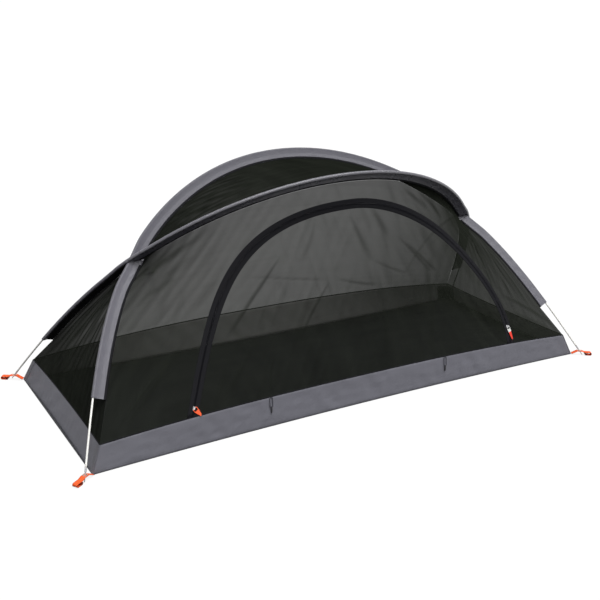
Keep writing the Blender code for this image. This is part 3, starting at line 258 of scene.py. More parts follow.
class TentColours(bpy.types.PropertyGroup):
    """Colours of the tent's finishes."""

    wall: bpy.props.FloatVectorProperty(
        name="Wall", description="Grey fabric of the walls", subtype="COLOR", size=3,
        default=(0.168, 0.168, 0.195), min=0.0, max=1.0)
    sleeve: bpy.props.FloatVectorProperty(
        name="Sleeve", description="Grey fabric of the pole sleeves", subtype="COLOR", size=3,
        default=(0.090, 0.088, 0.108), min=0.0, max=1.0)
    # Painted light: a pale colour on the walls' inner face stands in for the light inside the tent.
    lining: bpy.props.FloatVectorProperty(
        name="Lining", description="Coated inner face of the walls", subtype="COLOR", size=3,
        default=(0.900, 0.890, 0.870), min=0.0, max=1.0)
    floor: bpy.props.FloatVectorProperty(
        name="Floor", description="Black fabric of the floor", subtype="COLOR", size=3,
        default=(0.050, 0.051, 0.055), min=0.0, max=1.0)
    net: bpy.props.FloatVectorProperty(
        name="Net", description="Threads of the net", subtype="COLOR", size=3,
        default=(0.0122, 0.0138, 0.0108), min=0.0, max=1.0)
    tape: bpy.props.FloatVectorProperty(
        name="Tape", description="Zip tapes and bindings", subtype="COLOR", size=3,
        default=(0.014, 0.014, 0.016), min=0.0, max=1.0)
    webbing: bpy.props.FloatVectorProperty(
        name="Webbing", description="Corner straps", subtype="COLOR", size=3,
        default=(0.830, 0.110, 0.022), min=0.0, max=1.0)
    pole: bpy.props.FloatVectorProperty(
        name="Pole", description="Glass-fibre poles", subtype="COLOR", size=3,
        default=(0.820, 0.810, 0.770), min=0.0, max=1.0)


class TentStage(bpy.types.PropertyGroup):
    """Camera and light."""

    azimuth: bpy.props.FloatProperty(
        name="Azimuth", description="Direction of the camera round the tent",
        default=math.radians(-31.26), subtype="ANGLE", unit="ROTATION")
    elevation: bpy.props.FloatProperty(
        name="Elevation", description="Height of the camera above the horizon",
        default=math.radians(19.555), subtype="ANGLE", unit="ROTATION")
    roll: bpy.props.FloatProperty(
        name="Roll", description="Turn of the camera about its own axis",
        default=math.radians(1.4796), subtype="ANGLE", unit="ROTATION")
    distance: bpy.props.FloatProperty(
        name="Distance", description="From the camera to the point it looks at",
        default=3.8477, min=0.5, subtype="DISTANCE", unit="LENGTH")
    target: bpy.props.FloatVectorProperty(
        name="Target", description="Point that the camera looks at", subtype="XYZ", size=3,
        default=(-0.0006, 0.1036, 0.2657), unit="LENGTH")
    lens: bpy.props.FloatProperty(
        name="Lens", description="Focal length in millimetres", default=54.404, min=10.0)
    sky: bpy.props.FloatProperty(
        name="Sky", description="Strength of the even light from all round", default=0.72, min=0.0)
    key: bpy.props.FloatProperty(
        name="Key", description="Strength of the wide lamp above", default=3.4, min=0.0)


# Lines and grids
def unit(vectors):
    """Scale a vector, or each row of an array of vectors, to length one."""
    vectors = np.asarray(vectors, dtype=float)
    return vectors / np.maximum(np.linalg.norm(vectors, axis=-1, keepdims=True), 1e-12)


def running_sum(values, places):
    """Integrate values over places, starting from zero."""
    steps = np.diff(places) * (values[1:] + values[:-1]) / 2
    return np.concatenate([[0.0], np.cumsum(steps)])


def lengths_along(points):
    """Return the distance along a line of points to each of them."""
    steps = np.linalg.norm(np.diff(points, axis=0), axis=1)
    return np.concatenate([[0.0], np.cumsum(steps)])


def pick(points, places, wanted):
    """Read rows of points, given at places, at the wanted places."""
    points = np.asarray(points, dtype=float)
    wanted = np.atleast_1d(wanted)
    return np.stack([np.interp(wanted, places, points[:, axis]) for axis in range(points.shape[1])], 1)


def resample(points, shares):
    """Read a line of points at shares of its own length."""
    places = lengths_along(points)
    return pick(points, places, np.asarray(shares) * places[-1])


def bump(share, power):
    """Rise from zero at both ends to one in the middle."""
    return 1 - np.abs(2 * np.asarray(share) - 1) ** power


def soft_noise(points, size, seed):
    """Smooth noise from minus one to one, made of turned waves about one size long."""
    spread = np.random.default_rng(seed)
    total = np.zeros(len(points))
    for _ in range(9):
        way = unit(spread.normal(size=points.shape[1]))
        wave = 2 * math.pi / (size * spread.uniform(0.7, 1.6))
        total += np.sin(points @ way * wave + spread.uniform(0, 2 * math.pi))
    return total / 4.2


def side_wall(side, share):
    """Foot and top edge of a long wall, at shares of its length."""
    height = REAR_WALL_HEIGHT if side == REAR else FRONT_WALL_HEIGHT
    share = np.asarray(share, dtype=float)
    rise = bump(share, 2.5)
    foot_x = FLOOR_LENGTH * (share - 1 / 2)
    foot_y = side * (FLOOR_WIDTH / 2 - SIDE_BASE_BOW * bump(share, 2.0))
    foot = np.stack([foot_x, foot_y, np.full_like(foot_x, WALL_STAND)], 1)
    top_x = (FLOOR_LENGTH - 2 * CORNER_LEAN_ALONG) * (share - 1 / 2)
    inset = CORNER_LEAN_ACROSS * (1 - rise) + SIDE_TOP_INSET * rise
    top_y = side * (FLOOR_WIDTH / 2 - inset)
    top_z = CORNER_WALL_HEIGHT * (1 - rise) + height * rise
    return foot, np.stack([top_x, top_y, top_z], 1)


def end_wall(end, share):
    """Foot and top edge of a short wall, at shares of its length."""
    share = np.asarray(share, dtype=float)
    rise = bump(share, 2.5)
    foot_y = FLOOR_WIDTH * (share - 1 / 2)
    foot_x = end * (FLOOR_LENGTH / 2 - END_BASE_BOW * bump(share, 2.0))
    foot = np.stack([foot_x, foot_y, np.full_like(foot_y, WALL_STAND)], 1)
    top_y = (FLOOR_WIDTH - 2 * CORNER_LEAN_ACROSS) * (share - 1 / 2)
    inset = CORNER_LEAN_ALONG * (1 - rise) + END_TOP_INSET * rise
    top_x = end * (FLOOR_LENGTH / 2 - inset)
    top_z = CORNER_WALL_HEIGHT * (1 - rise) + END_WALL_HEIGHT * rise
    return foot, np.stack([top_x, top_y, top_z], 1)


def wall_top(side, x):
    """Top edge of a long wall at the wanted x."""
    share = np.asarray(x) / (FLOOR_LENGTH - 2 * CORNER_LEAN_ALONG) + 1 / 2
    return side_wall(side, np.clip(share, 0, 1))[1]


class Hoop:
    """Fine centre line of one bent pole, from its left foot to its right foot."""

    def __init__(self, side):
        self.side = side
        centre, inward = self.bent_line()
        self.places = lengths_along(centre)
        self.length = self.places[-1]
        middle = len(centre) // 2
        self.crossing = float(np.interp(0.0, centre[:middle, 1] * side, self.places[:middle]))
        far_crossing = self.length - self.crossing
        away = np.minimum(np.abs(self.places - self.crossing), np.abs(self.places - far_crossing))
        level = CROSSING_LEVEL_SHARE * CROSSING_EASE
        ease = np.cos(np.clip((away - level) / (CROSSING_EASE - level), 0, 1) * math.pi / 2) ** 2
        self.points = centre + inward * (side * CROSSING_STANDOFF * ease)[:, None]
        self.inward = inward
        upward = np.array([0, side * (HOOP_FOOT_REACH + HOOP_TOP_LEAN), HOOP_HEIGHT])
        self.sideways = unit(np.cross(upward, [1, 0, 0]))

    def bent_line(self):
        """Fine centre line of the hoop and its inward direction."""
        shares = np.linspace(0, 1, CURVE_STEPS)
        turned = running_sum(np.interp(shares, BEND_STATION_SHARES, BEND_SHARES), shares)
        angle = HOOP_FOOT_ANGLE * (1 - turned / turned[-1])
        along = running_sum(np.cos(angle), shares)
        rise = running_sum(np.sin(angle), shares)
        lift = rise / rise[-1]
        across = HOOP_FOOT_REACH + HOOP_TOP_LEAN
        x = HOOP_HALF_SPAN * (along / along[-1] - 1)
        y = -HOOP_FOOT_REACH + across * (lift + HOOP_BOW_SHARE * lift * (1 - lift))
        half = np.stack([x, y, HOOP_HEIGHT * lift], 1)
        whole = np.concatenate([half, (half[:-1] * [-1, 1, 1])[::-1]])
        tangent = unit(np.gradient(whole, axis=0))
        inward = unit(np.cross(tangent, np.cross([1, 0, 0], unit([0, across, HOOP_HEIGHT]))))
        return whole * [1, self.side, 1], inward * [1, self.side, 1]

    def frame(self, wanted):
        """Points, inward and sideways directions at the wanted distances."""
        points = pick(self.points, self.places, wanted)
        inward = unit(pick(self.inward, self.places, wanted))
        return points, inward, np.tile(self.sideways, (len(points), 1))

    def seam(self, wanted):
        """Inner edge of the sleeve's band, where the net is sewn."""
        points, inward, _ = self.frame(wanted)
        return points + inward * BAND_WIDTH

    def seam_crossing(self):
        """Distance at which the inner edge passes over the middle line."""
        near = self.places[self.places < self.length / 2]
        return float(np.interp(0.0, self.seam(near)[:, 1] * self.side, near))


def sewn_edge(side, leg_hoop, arch_hoop):
    """Outer edge of a long net: up a leg, over an arch and down a leg."""
    corner = wall_top(side, [-FLOOR_LENGTH / 2])[0]
    leg_end = leg_hoop.seam_crossing()
    arch_start = arch_hoop.seam_crossing()
    leg = leg_hoop.seam(np.linspace(SLEEVE_START, leg_end, 90))
    arch = arch_hoop.seam(np.linspace(arch_start, arch_hoop.length / 2, 150))
    aim = np.array([0.0, side * NET_AIM_REACH, NET_AIM_HEIGHT])
    leg = leg + unit(aim - leg) * NET_SEAM_INSET
    arch = arch + unit(aim - arch) * NET_SEAM_INSET
    left = np.concatenate([[corner], leg, arch[1:]])
    return np.concatenate([left, left[::-1][1:] * [-1, 1, 1]]), (len(leg), len(left) - 1)


class Panel:
    """Taut surface of a long net, kept as its y over x and shares of its height."""

    def __init__(self, side, edge, columns=150, rows=36, rounds=5000):
        self.side = side
        self.edge = edge
        self.columns = np.linspace(edge[0, 0], edge[-1, 0], columns + 1)
        self.shares = np.linspace(0, 1, rows + 1)
        low, high = self.limits(self.columns)
        steps = self.shares[:, None]
        y = low[:, 1] * (1 - steps) + high[:, 0] * steps
        z = low[:, 2] * (1 - steps) + high[:, 1] * steps
        x = np.broadcast_to(self.columns, z.shape)
        across = 1 / (np.diff(x, axis=1) ** 2 + np.diff(z, axis=1) ** 2)
        upward = 1 / np.maximum(np.diff(z, axis=0), 0.001) ** 2
        left, right = across[1:-1, :-1], across[1:-1, 1:]
        below, above = upward[:-1, 1:-1], upward[1:, 1:-1]
        total = left + right + below + above
        for _ in range(rounds):
            sides = left * y[1:-1, :-2] + right * y[1:-1, 2:]
            ends = below * y[:-2, 1:-1] + above * y[2:, 1:-1]
            y[1:-1, 1:-1] = (sides + ends) / total
        self.depths = y

    def limits(self, x):
        """Foot, and the y and z of the sewn edge, at the wanted x."""
        return wall_top(self.side, x), pick(self.edge[:, 1:], self.edge[:, 0], x)

    def at(self, x, z):
        """Points of the panel at x and z."""
        x = np.asarray(x, dtype=float)
        z = np.asarray(z, dtype=float)
        low, high = self.limits(x)
        height = np.maximum(high[:, 1] - low[:, 2], 0.001)
        share = (z - low[:, 2]) / height
        row = np.clip(share, 0, 1) * (len(self.shares) - 1)
        column = np.interp(x, self.columns, np.arange(len(self.columns)) * 1.0)
        first_row = np.minimum(row.astype(int), len(self.shares) - 2)
        first_column = np.minimum(column.astype(int), len(self.columns) - 2)
        up = row - first_row
        along = column - first_column
        lower = self.depths[first_row, first_column] * (1 - along)
        lower = lower + self.depths[first_row, first_column + 1] * along
        upper = self.depths[first_row + 1, first_column] * (1 - along)
        upper = upper + self.depths[first_row + 1, first_column + 1] * along
        y = lower * (1 - up) + upper * up
        y = y + (high[:, 0] - low[:, 1]) * np.minimum(share, 0)
        return np.stack([x, y, z], 1)


def arch_line():
    """Zip's middle line, from below the left foot to below the right foot, in x and z."""
    top = np.array(DOOR_TOP)
    halves = []
    for end, foot_x, angle, leg_reach, top_reach in zip(
            (LEFT, RIGHT), DOOR_FEET, DOOR_LEG_ANGLES, DOOR_LEG_REACHES, DOOR_TOP_REACHES):
        foot = np.array([foot_x, wall_top(FRONT, [foot_x])[0, 2]])
        way = np.array([math.cos(angle), math.sin(angle)])
        share = np.linspace(0, 1, 400)[:, None]
        rest = 1 - share
        line = rest ** 3 * foot + 3 * rest ** 2 * share * (foot + leg_reach * way)
        line = line + 3 * rest * share ** 2 * (top + [end * top_reach, 0]) + share ** 3 * top
        halves.append(np.concatenate([[foot - way * DOOR_FOOT_OVERRUN], line]))
    return np.concatenate([halves[0], halves[1][::-1][1:]])


def beside_arch(line, offset, columns):
    """Line beside the zip, further out for a positive offset, from wall top to wall top."""
    tangent = unit(np.gradient(line, axis=0))
    outward = np.stack([-tangent[:, 1], tangent[:, 0]], 1)
    moved = line + outward * offset
    above = moved[:, 1] - wall_top(FRONT, moved[:, 0])[:, 2] - NET_FOOT_GAP
    inside = np.nonzero(above > 0)[0]
    ends = []
    for outer, inner in ((inside[0] - 1, inside[0]), (inside[-1] + 1, inside[-1])):
        share = above[inner] / (above[inner] - above[outer])
        ends.append(moved[inner] + (moved[outer] - moved[inner]) * share)
    reach = lengths_along(line)
    stations = np.linspace(reach[1], reach[-2], columns + 1)[1:-1]
    return np.concatenate([[ends[0]], pick(moved, reach, stations), [ends[1]]])


def normals_of(grid):
    """Unit normals of a grid of points."""
    return unit(np.cross(np.gradient(grid, axis=1), np.gradient(grid, axis=0)))


def fold_depth(flat, folds):
    """Height and gathering of all the listed folds at points given in the panel's two flat directions."""
    total = np.zeros(flat.shape[:-1])
    gathered = np.zeros(flat.shape[:-1])
    for x0, z0, x1, z1, x2, z2, width, depth in folds:
        start, middle, end = np.array([x0, z0]), np.array([x1, z1]), np.array([x2, z2])
        long = np.linalg.norm(end - start)
        way = (end - start) / long
        side = np.array([-way[1], way[0]])
        bow = (middle - (start + end) / 2) @ side
        along = (flat - start) @ way
        share = np.clip(along / long, 0, 1)
        beyond = np.maximum(np.abs(along - long / 2) - long / 2, 0)
        across = (flat - start) @ side - bow * 4 * share * (1 - share)
        near = (across / (width * (0.7 + 0.6 * share))) ** 2 + (beyond / width) ** 2
        swell = (4 * share * (1 - share)) ** 0.7
        total += depth * swell * (1 - 0.7 * near) * np.exp(-near)
        gathered += depth / FOLD_GATHER * swell * np.exp(-near * 2.2)
    return total, np.clip(gathered, 0, 1)


def grid_lengths(grid):
    """Distances along and across a grid to each of its points."""
    along = np.zeros(grid.shape[:2])
    along[:, 1:] = np.cumsum(np.linalg.norm(np.diff(grid, axis=1), axis=2), axis=1)
    across = np.zeros(grid.shape[:2])
    across[1:] = np.cumsum(np.linalg.norm(np.diff(grid, axis=0), axis=2), axis=0)
    return along, across


def grid_area(grid):
    """Area of a grid of points."""
    first = grid[1:, 1:] - grid[:-1, :-1]
    second = grid[1:, :-1] - grid[:-1, 1:]
    return float(np.linalg.norm(np.cross(first, second), axis=2).sum() / 2)


def edge_fade(grid, room):
    """Zero on a grid's edges, rising to one at a distance of room from them."""
    along, across = grid_lengths(grid)
    near = np.minimum(np.minimum(along, along[:, -1:] - along), np.minimum(across, across[-1:] - across))
    share = np.clip(near / room, 0, 1)
    return share * share * (3 - 2 * share)


def ruled(low, high, shares):
    """Lines between two lines of points, one for each share of the way."""
    return [low * (1 - share) + high * share for share in shares]


# Making pieces
def put(name, points, faces, finish, body, uv=None, nodes=(), slot=None, thickness=0.0, gathered=None):
    """Make one mesh piece with its cloth coordinates, and let it ride on its body."""
    mesh = bpy.data.meshes.new(name)
    mesh.from_pydata(np.asarray(points, dtype=float).tolist(), [], faces)
    corners = np.zeros(len(mesh.loops), dtype=np.int32)
    mesh.loops.foreach_get("vertex_index", corners)
    layers = {"cloth": uv}
    if gathered is not None:
        layers["gathered"] = np.repeat(gathered.reshape(-1, 1), 2, axis=1)
    for label, values in layers.items():
        if values is not None:
            layer = mesh.uv_layers.new(name=label)
            layer.data.foreach_set("uv", np.asarray(values, dtype=np.float32)[corners].ravel())
    mesh.materials.append(finish)
    mesh.shade_smooth()
    piece = bpy.data.objects.new(name, mesh)
    bpy.context.scene.collection.objects.link(piece)
    if thickness:
        shell = piece.modifiers.new("thickness", "SOLIDIFY")
        shell.thickness = thickness
        shell.offset = 0.0
    if body is HEM:
        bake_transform(piece)
    else:
        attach(piece, body)
    if nodes:
        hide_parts(*nodes)
    return piece


def grid_faces(rows, columns, loop=False):
    """Quads of a grid of points, closed across its columns for a loop."""
    faces = []
    count = columns if loop else columns - 1
    for row in range(rows - 1):
        for column in range(count):
            after = (column + 1) % columns
            low = row * columns
            faces.append((low + column, low + after, low + columns + after, low + columns + column))
    return faces


def cloth_coordinates(grid):
    """Distances along and across a grid, one row for each of its points."""
    return np.stack(grid_lengths(grid), 2).reshape(-1, 2)


def put_grid(name, grid, finish, body, **rest):
    """Make a piece from a grid of points."""
    grid = np.asarray(grid, dtype=float)
    faces = grid_faces(*grid.shape[:2])
    return put(name, grid.reshape(-1, 3), faces, finish, body, cloth_coordinates(grid), **rest)


def tube(name, line, radius, sides, finish, body, flat=1.0, **rest):
    """Make a round or flattened tube along a line, closed at its ends."""
    line = np.asarray(line, dtype=float)
    tangent = unit(np.gradient(line, axis=0))
    side = np.cross(tangent, [0.0, 0.0, 1.0])
    weak = np.linalg.norm(side, axis=1) < 0.05
    side[weak] = np.cross(tangent[weak], [0.0, 1.0, 0.0])
    side = unit(side)
    up = np.cross(side, tangent)
    turns = np.linspace(0, 2 * math.pi, sides, endpoint=False)
    wide = np.cos(turns)[None, :, None] * side[:, None] * flat
    tall = np.sin(turns)[None, :, None] * up[:, None]
    rings = line[:, None] + radius * (wide + tall)
    uv = np.stack(np.broadcast_arrays(lengths_along(line)[:, None], turns[None, :] * radius), 2)
    faces = grid_faces(len(line), sides, loop=True)
    faces.append(tuple(range(sides))[::-1])
    faces.append(tuple(range((len(line) - 1) * sides, len(line) * sides)))
    return put(name, rings.reshape(-1, 3), faces, finish, body, uv.reshape(-1, 2), **rest)


# Materials
class Shade:
    """A socket in a material, with arithmetic that adds Math nodes."""

    def __init__(self, finish, socket):
        self.finish = finish
        self.socket = socket

    def maths(self, operation, *values):
        """Add one Math node."""
        return self.finish.node("ShaderNodeMath", {"operation": operation}, dict(enumerate(values)))

    def __add__(self, other):
        return self.maths("ADD", self, other)

    def __radd__(self, other):
        return self.maths("ADD", other, self)

    def __sub__(self, other):
        return self.maths("SUBTRACT", self, other)

    def __rsub__(self, other):
        return self.maths("SUBTRACT", other, self)

    def __mul__(self, other):
        return self.maths("MULTIPLY", self, other)

    def __rmul__(self, other):
        return self.maths("MULTIPLY", other, self)

    def __truediv__(self, other):
        return self.maths("DIVIDE", self, other)

    def __rtruediv__(self, other):
        return self.maths("DIVIDE", other, self)

    def __pow__(self, other):
        return self.maths("POWER", self, other)

    def __abs__(self):
        return self.maths("ABSOLUTE", self)

    def __mod__(self, other):
        return self.maths("FLOORED_MODULO", self, other)

    def __lt__(self, other):
        return self.maths("LESS_THAN", self, other)

    def __gt__(self, other):
        return self.maths("GREATER_THAN", self, other)

    def sine(self):
        """Sine of the value."""
        return self.maths("SINE", self)

    def at_least(self, other):
        """The larger of the two."""
        return self.maths("MAXIMUM", self, other)

    def at_most(self, other):
        """The smaller of the two."""
        return self.maths("MINIMUM", self, other)


class Finish:
    """A material, or the world, and the nodes in it."""

    def __init__(self, owner):
        owner.use_nodes = True
        self.owner = owner
        self.tree = owner.node_tree
        self.tree.nodes.clear()

    def node(self, kind, settings=None, sockets=None, output=0):
        """Add a node of a type, with its settings first and then its sockets' values or links."""
        made = self.tree.nodes.new(kind)
        for name, value in (settings or {}).items():
            setattr(made, name, value)
        for name, value in (sockets or {}).items():
            if isinstance(value, Shade):
                self.tree.links.new(value.socket, made.inputs[name])
            else:
                made.inputs[name].default_value = value
        return Shade(self, made.outputs[output]) if made.outputs else None

    def part_of(self, vector, axis):
        """One coordinate of a vector."""
        return self.node("ShaderNodeSeparateXYZ", None, {"Vector": vector}, axis)

    def cloth_place(self):
        """Place on the cloth, in metres."""
        return self.node("ShaderNodeUVMap", {"uv_map": "cloth"})

    def cloth(self):
        """Distance along and across the cloth, in metres, and both as one vector."""
        place = self.cloth_place()
        return self.part_of(place, "X"), self.part_of(place, "Y"), place

    def here(self):
        """Place on the piece itself, in metres."""
        return self.node("ShaderNodeTexCoord", None, None, "Object")

    def vector_maths(self, operation, first, second, output="Vector"):
        """Add one Vector Math node."""
        return self.node("ShaderNodeVectorMath", {"operation": operation}, {0: first, 1: second}, output)

    def noise(self, place, scale, detail=3.0, roughness=0.55, stretch=None):
        """Noise from zero to one, stretched by a scale in each direction."""
        if stretch is not None:
            place = self.vector_maths("MULTIPLY", place, stretch)
        values = {"Vector": place, "Scale": scale, "Detail": detail, "Roughness": roughness}
        return self.node("ShaderNodeTexNoise", None, values, "Fac")

    def between(self, share, first, second):
        """Mix two colours by a share."""
        factor, colour_a, colour_b, result = 0, 6, 7, 2
        values = {factor: share, colour_a: first, colour_b: second}
        return self.node("ShaderNodeMix", {"data_type": "RGBA"}, values, result)

    def inner_face(self):
        """One on a face that looks toward the middle of the tent."""
        place = self.node("ShaderNodeNewGeometry", None, None, "Position")
        normal = self.node("ShaderNodeNewGeometry", None, None, "Normal")
        return self.vector_maths("DOT_PRODUCT", place, normal, "Value") < 0

    def shown(self):
        """One where the camera, a glossy face or a clear piece sees the backdrop."""
        rays = [self.node("ShaderNodeLightPath", None, None, f"Is {kind} Ray")
                for kind in ("Camera", "Glossy", "Transmission")]
        return (rays[0] + rays[1] + rays[2]).at_most(1.0)

    def raised(self, height, strength, distance):
        """Normal that follows a height."""
        return self.node(
            "ShaderNodeBump", None, {"Strength": strength, "Distance": distance, "Height": height}, "Normal")

    def surface(self, **sockets):
        """Principled surface as the material's output."""
        named = {name.replace("_", " "): value for name, value in sockets.items()}
        shader = self.node("ShaderNodeBsdfPrincipled", None, named, "BSDF")
        self.node("ShaderNodeOutputMaterial", None, {"Surface": shader})
        return self.owner


def new_finish(name):
    """Start a material without nodes."""
    return Finish(bpy.data.materials.new(name))


def shaded(colour, share):
    """A colour made lighter or darker, with full cover."""
    return tuple(min(1.0, part * share) for part in colour) + (1.0,)


def woven(name, colour, cloth, roughness=0.72, mottle=0.16, gloss=0.3, stitch_rows=(), lining=None,
          groove_depth=3.0, lining_start=0.0, end_shade=0.0):
    """Plain woven fabric with its threads, soft mottling and rows of stitches."""
    finish = new_finish(name)
    along, across, place = finish.cloth()
    turn = 2 * math.pi / cloth.weave
    threads = (along * turn).sine() * (across * turn).sine()
    clouds = finish.noise(place, 9.0, 4.0)
    streaks = finish.noise(place, 90.0, 2.0, 0.5, (0.2, 1.0, 1.0))
    share = (clouds * 0.6 + streaks * 0.4 - 0.5) * (mottle * 4) + 0.5
    tint = finish.between(share, shaded(colour, 1 - mottle), shaded(colour, 1 + mottle))
    height = threads * 0.5 + clouds * 1.5 + streaks
    for row in stitch_rows:
        near = 1 - (abs(across - row) / STITCH_REACH).at_most(1.0)
        dash = ((along % cloth.stitch) / cloth.stitch) < STITCH_SHARE
        mark = near * dash
        groove = 1 - (abs(across - row) / GROOVE_REACH).at_most(1.0)
        # Stitch dashes are darker thread, darkened further by the groove depth, which is painted shade in
        # the groove.
        tint = finish.between(mark * (0.2 + groove_depth * 0.2), tint, shaded(colour, 0.45))
        height = height + mark * 2.0 - groove * groove_depth
    # Painted shade: the colour darkens toward both ends of the tent, growing with the distance from its
    # middle.
    if end_shade:
        from_middle = abs(finish.part_of(finish.here(), "X"))
        painted_end_shade_share = (from_middle / (FLOOR_LENGTH / 2)) ** 2
        tint = finish.between((painted_end_shade_share * end_shade).at_most(1.0), tint, shaded(colour, 0.5))
    # Painted light and shade on faces toward the middle of the tent: pale on the walls for light, near black
    # on the leg sleeves for shade.
    if lining is not None:
        tint = finish.between(finish.inner_face() * (across > lining_start), tint, shaded(lining, 1.0))
    return finish.surface(
        Base_Color=tint,
        Roughness=(roughness - 0.08) + clouds * 0.16,
        Specular_IOR_Level=gloss,
        Normal=finish.raised(height, 0.35, 0.0006),
    )


def netting(name, colour, cloth, density=1.0):
    """Knitted net: threads with gaps, which close up as the net turns edge-on."""
    finish = new_finish(name)
    along, across, place = finish.cloth()
    facing = finish.node("ShaderNodeLayerWeight", None, {"Blend": 0.5}, "Facing")
    tilt = (1 - facing).at_least(0.08)
    fine = finish.noise(place, 260.0, 2.0, 0.6)
    patches = finish.noise(place, 5.0, 3.0, 0.5)
    streaks = finish.noise(place, 42.0, 2.0, 0.5, (0.12, 1.0, 1.0))

    def creases(distance, scale, bend, spacing):
        """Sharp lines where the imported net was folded, which wander by a bend."""
        bent = distance + (finish.noise(place, scale, 2.0) - 0.5) * bend
        return (1 - abs((bent * (math.pi / spacing)).sine())) ** 14

    pressed = (creases(along, 7.0, 0.05, 0.11) + creases(across, 6.0, 0.04, 0.085)) * patches
    gathered = finish.part_of(finish.node("ShaderNodeUVMap", {"uv_map": "gathered"}), "X")
    grain = 0.90 + fine * 0.05 + patches * 0.05 + streaks * 0.07 + pressed * 0.07
    thread = cloth.net_cover * density * (grain + gathered * 0.55)
    gap = (1 - thread) ** (1 + tilt ** -1.3)
    # Painted sheen: soft lighter streaks in the net's colour, mixed with the net's own streaks and pressed
    # creases.
    painted_sheen = finish.noise(place, 13.0, 2.0, 0.5, (1.0, 0.22, 1.0)) * 1.6 - 0.5
    share = (streaks * 0.4 + pressed * 0.4 + painted_sheen * 0.5).at_least(0.0)
    tint = finish.between(share, shaded(colour, 0.6), shaded(colour, 1.9))
    return finish.surface(
        Base_Color=tint,
        Roughness=0.65 + fine * 0.2,
        Specular_IOR_Level=0.0,
        Alpha=1 - gap,
        Normal=finish.raised(fine + streaks, 0.3, 0.0004),
    )


def ribbed(name, colour, pitch, roughness=0.7, edge=None, tip=None, gloss=0.03):
    """Woven tape or webbing with ribs across it and darker selvedges."""
    finish = new_finish(name)
    along, across, place = finish.cloth()
    ribs = abs((along * (math.pi / pitch)).sine())
    dirt = finish.noise(place, 60.0, 4.0)
    # Painted shade: the colour is darker between the ribs, where the bump is low; the dirt noise varies it
    # at random.
    tint = finish.between(ribs * 0.5 + dirt * 0.5, shaded(colour, 0.72), shaded(colour, 1.12))
    height = ribs + dirt * 0.5
    if edge is not None:
        side = (abs(across - edge / 2) / (edge / 2)) ** 6
        tint = finish.between(side * 0.5, tint, shaded(colour, 0.45))
        row = 1 - (abs(abs(across - edge / 2) - edge * 0.36) / 0.0006).at_most(1.0)
        tint = finish.between(row * 0.6, tint, shaded(colour, 0.5))
        height = height - row
    # Beyond a distance along the tape the colour turns to a given darker one; on the webbing this is painted
    # shade on its folded loop.
    if tip is not None:
        end = (along > tip[0]) * 0.85
        tint = finish.between(end, tint, tip[1])
    return finish.surface(
        Base_Color=tint,
        Roughness=roughness + dirt * 0.1,
        Specular_IOR_Level=gloss,
        Normal=finish.raised(height, 0.5, 0.0005),
    )


def glass_fibre(name, colour):
    """Smooth rod with faint lengthwise streaks."""
    finish = new_finish(name)
    place = finish.cloth_place()
    streaks = finish.noise(place, 900.0, 2.0, 0.5, (0.02, 1.0, 1.0))
    scuffs = finish.noise(place, 40.0, 4.0)
    tint = finish.between(streaks * 0.6 + scuffs * 0.4, shaded(colour, 0.86), shaded(colour, 1.04))
    return finish.surface(
        Base_Color=tint,
        Roughness=0.28 + scuffs * 0.2,
        Coat_Weight=0.2,
        Normal=finish.raised(streaks, 0.1, 0.0002),
    )


def metal(name, colour, roughness=0.3):
    """Drawn or cast metal with fine scratches and duller patches."""
    finish = new_finish(name)
    place = finish.here()
    scratches = finish.noise(place, 1500.0, 2.0, 0.6, (1.0, 1.0, 0.1))
    patches = finish.noise(place, 160.0, 4.0)
    tint = finish.between(patches, shaded(colour, 0.8), shaded(colour, 1.1))
    return finish.surface(
        Base_Color=tint,
        Metallic=1.0,
        Roughness=roughness + patches * 0.15 + scratches * 0.1,
        Normal=finish.raised(scratches, 0.12, 0.0001),
    )


def moulded(name, colour, roughness=0.45, bands=None):
    """Moulded plastic or rubber with a fine grain, and bands of colour measured from a point."""
    finish = new_finish(name)
    place = finish.here()
    grain = finish.noise(place, 2200.0, 2.0)
    patches = finish.noise(place, 120.0, 4.0)
    tint = finish.between(patches, shaded(colour, 0.85), shaded(colour, 1.1))
    if bands is not None:
        point, near_end, near_colour, far_start, far_colour = bands
        apart = finish.vector_maths("DISTANCE", place, tuple(point), "Value")
        near = ((near_end - apart) / 0.0015).at_least(0.0).at_most(1.0)
        far = ((apart - far_start) / 0.0015).at_least(0.0).at_most(1.0)
        tint = finish.between(near, tint, near_colour)
        tint = finish.between(far, tint, far_colour)
    return finish.surface(
        Base_Color=tint,
        Roughness=roughness + grain * 0.12,
        Normal=finish.raised(grain, 0.15, 0.0002),
    )


def braided(name, colour):
    """Thin braided cord."""
    finish = new_finish(name)
    along, across, place = finish.cloth()
    onward, aside = along * 3600.0, across * 2600.0
    braid = (onward + aside).sine() * (onward - aside).sine()
    dirt = finish.noise(place, 400.0, 3.0)
    # Painted shade: the colour is darker in the braid's grooves, where the bump is low; the dirt noise
    # varies it at random.
    tint = finish.between(braid * 0.4 + dirt * 0.5, shaded(colour, 0.6), shaded(colour, 1.25))
    return finish.surface(
        Base_Color=tint,
        Roughness=0.75,
        Normal=finish.raised(braid, 0.5, 0.0004),
    )


def dress(node, finish):
    """Give a carried-over part its finish."""
    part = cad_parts[node]
    part.data.materials.clear()
    part.data.materials.append(finish)
    return part


def round_edges(part, width):
    """Round the edges of a hard part."""
    rounding = part.modifiers.new("rounded edges", "BEVEL")
    rounding.width = width
    rounding.segments = 2
    rounding.limit_method = "ANGLE"
    rounding.angle_limit = math.radians(35)
    rounding.harden_normals = False


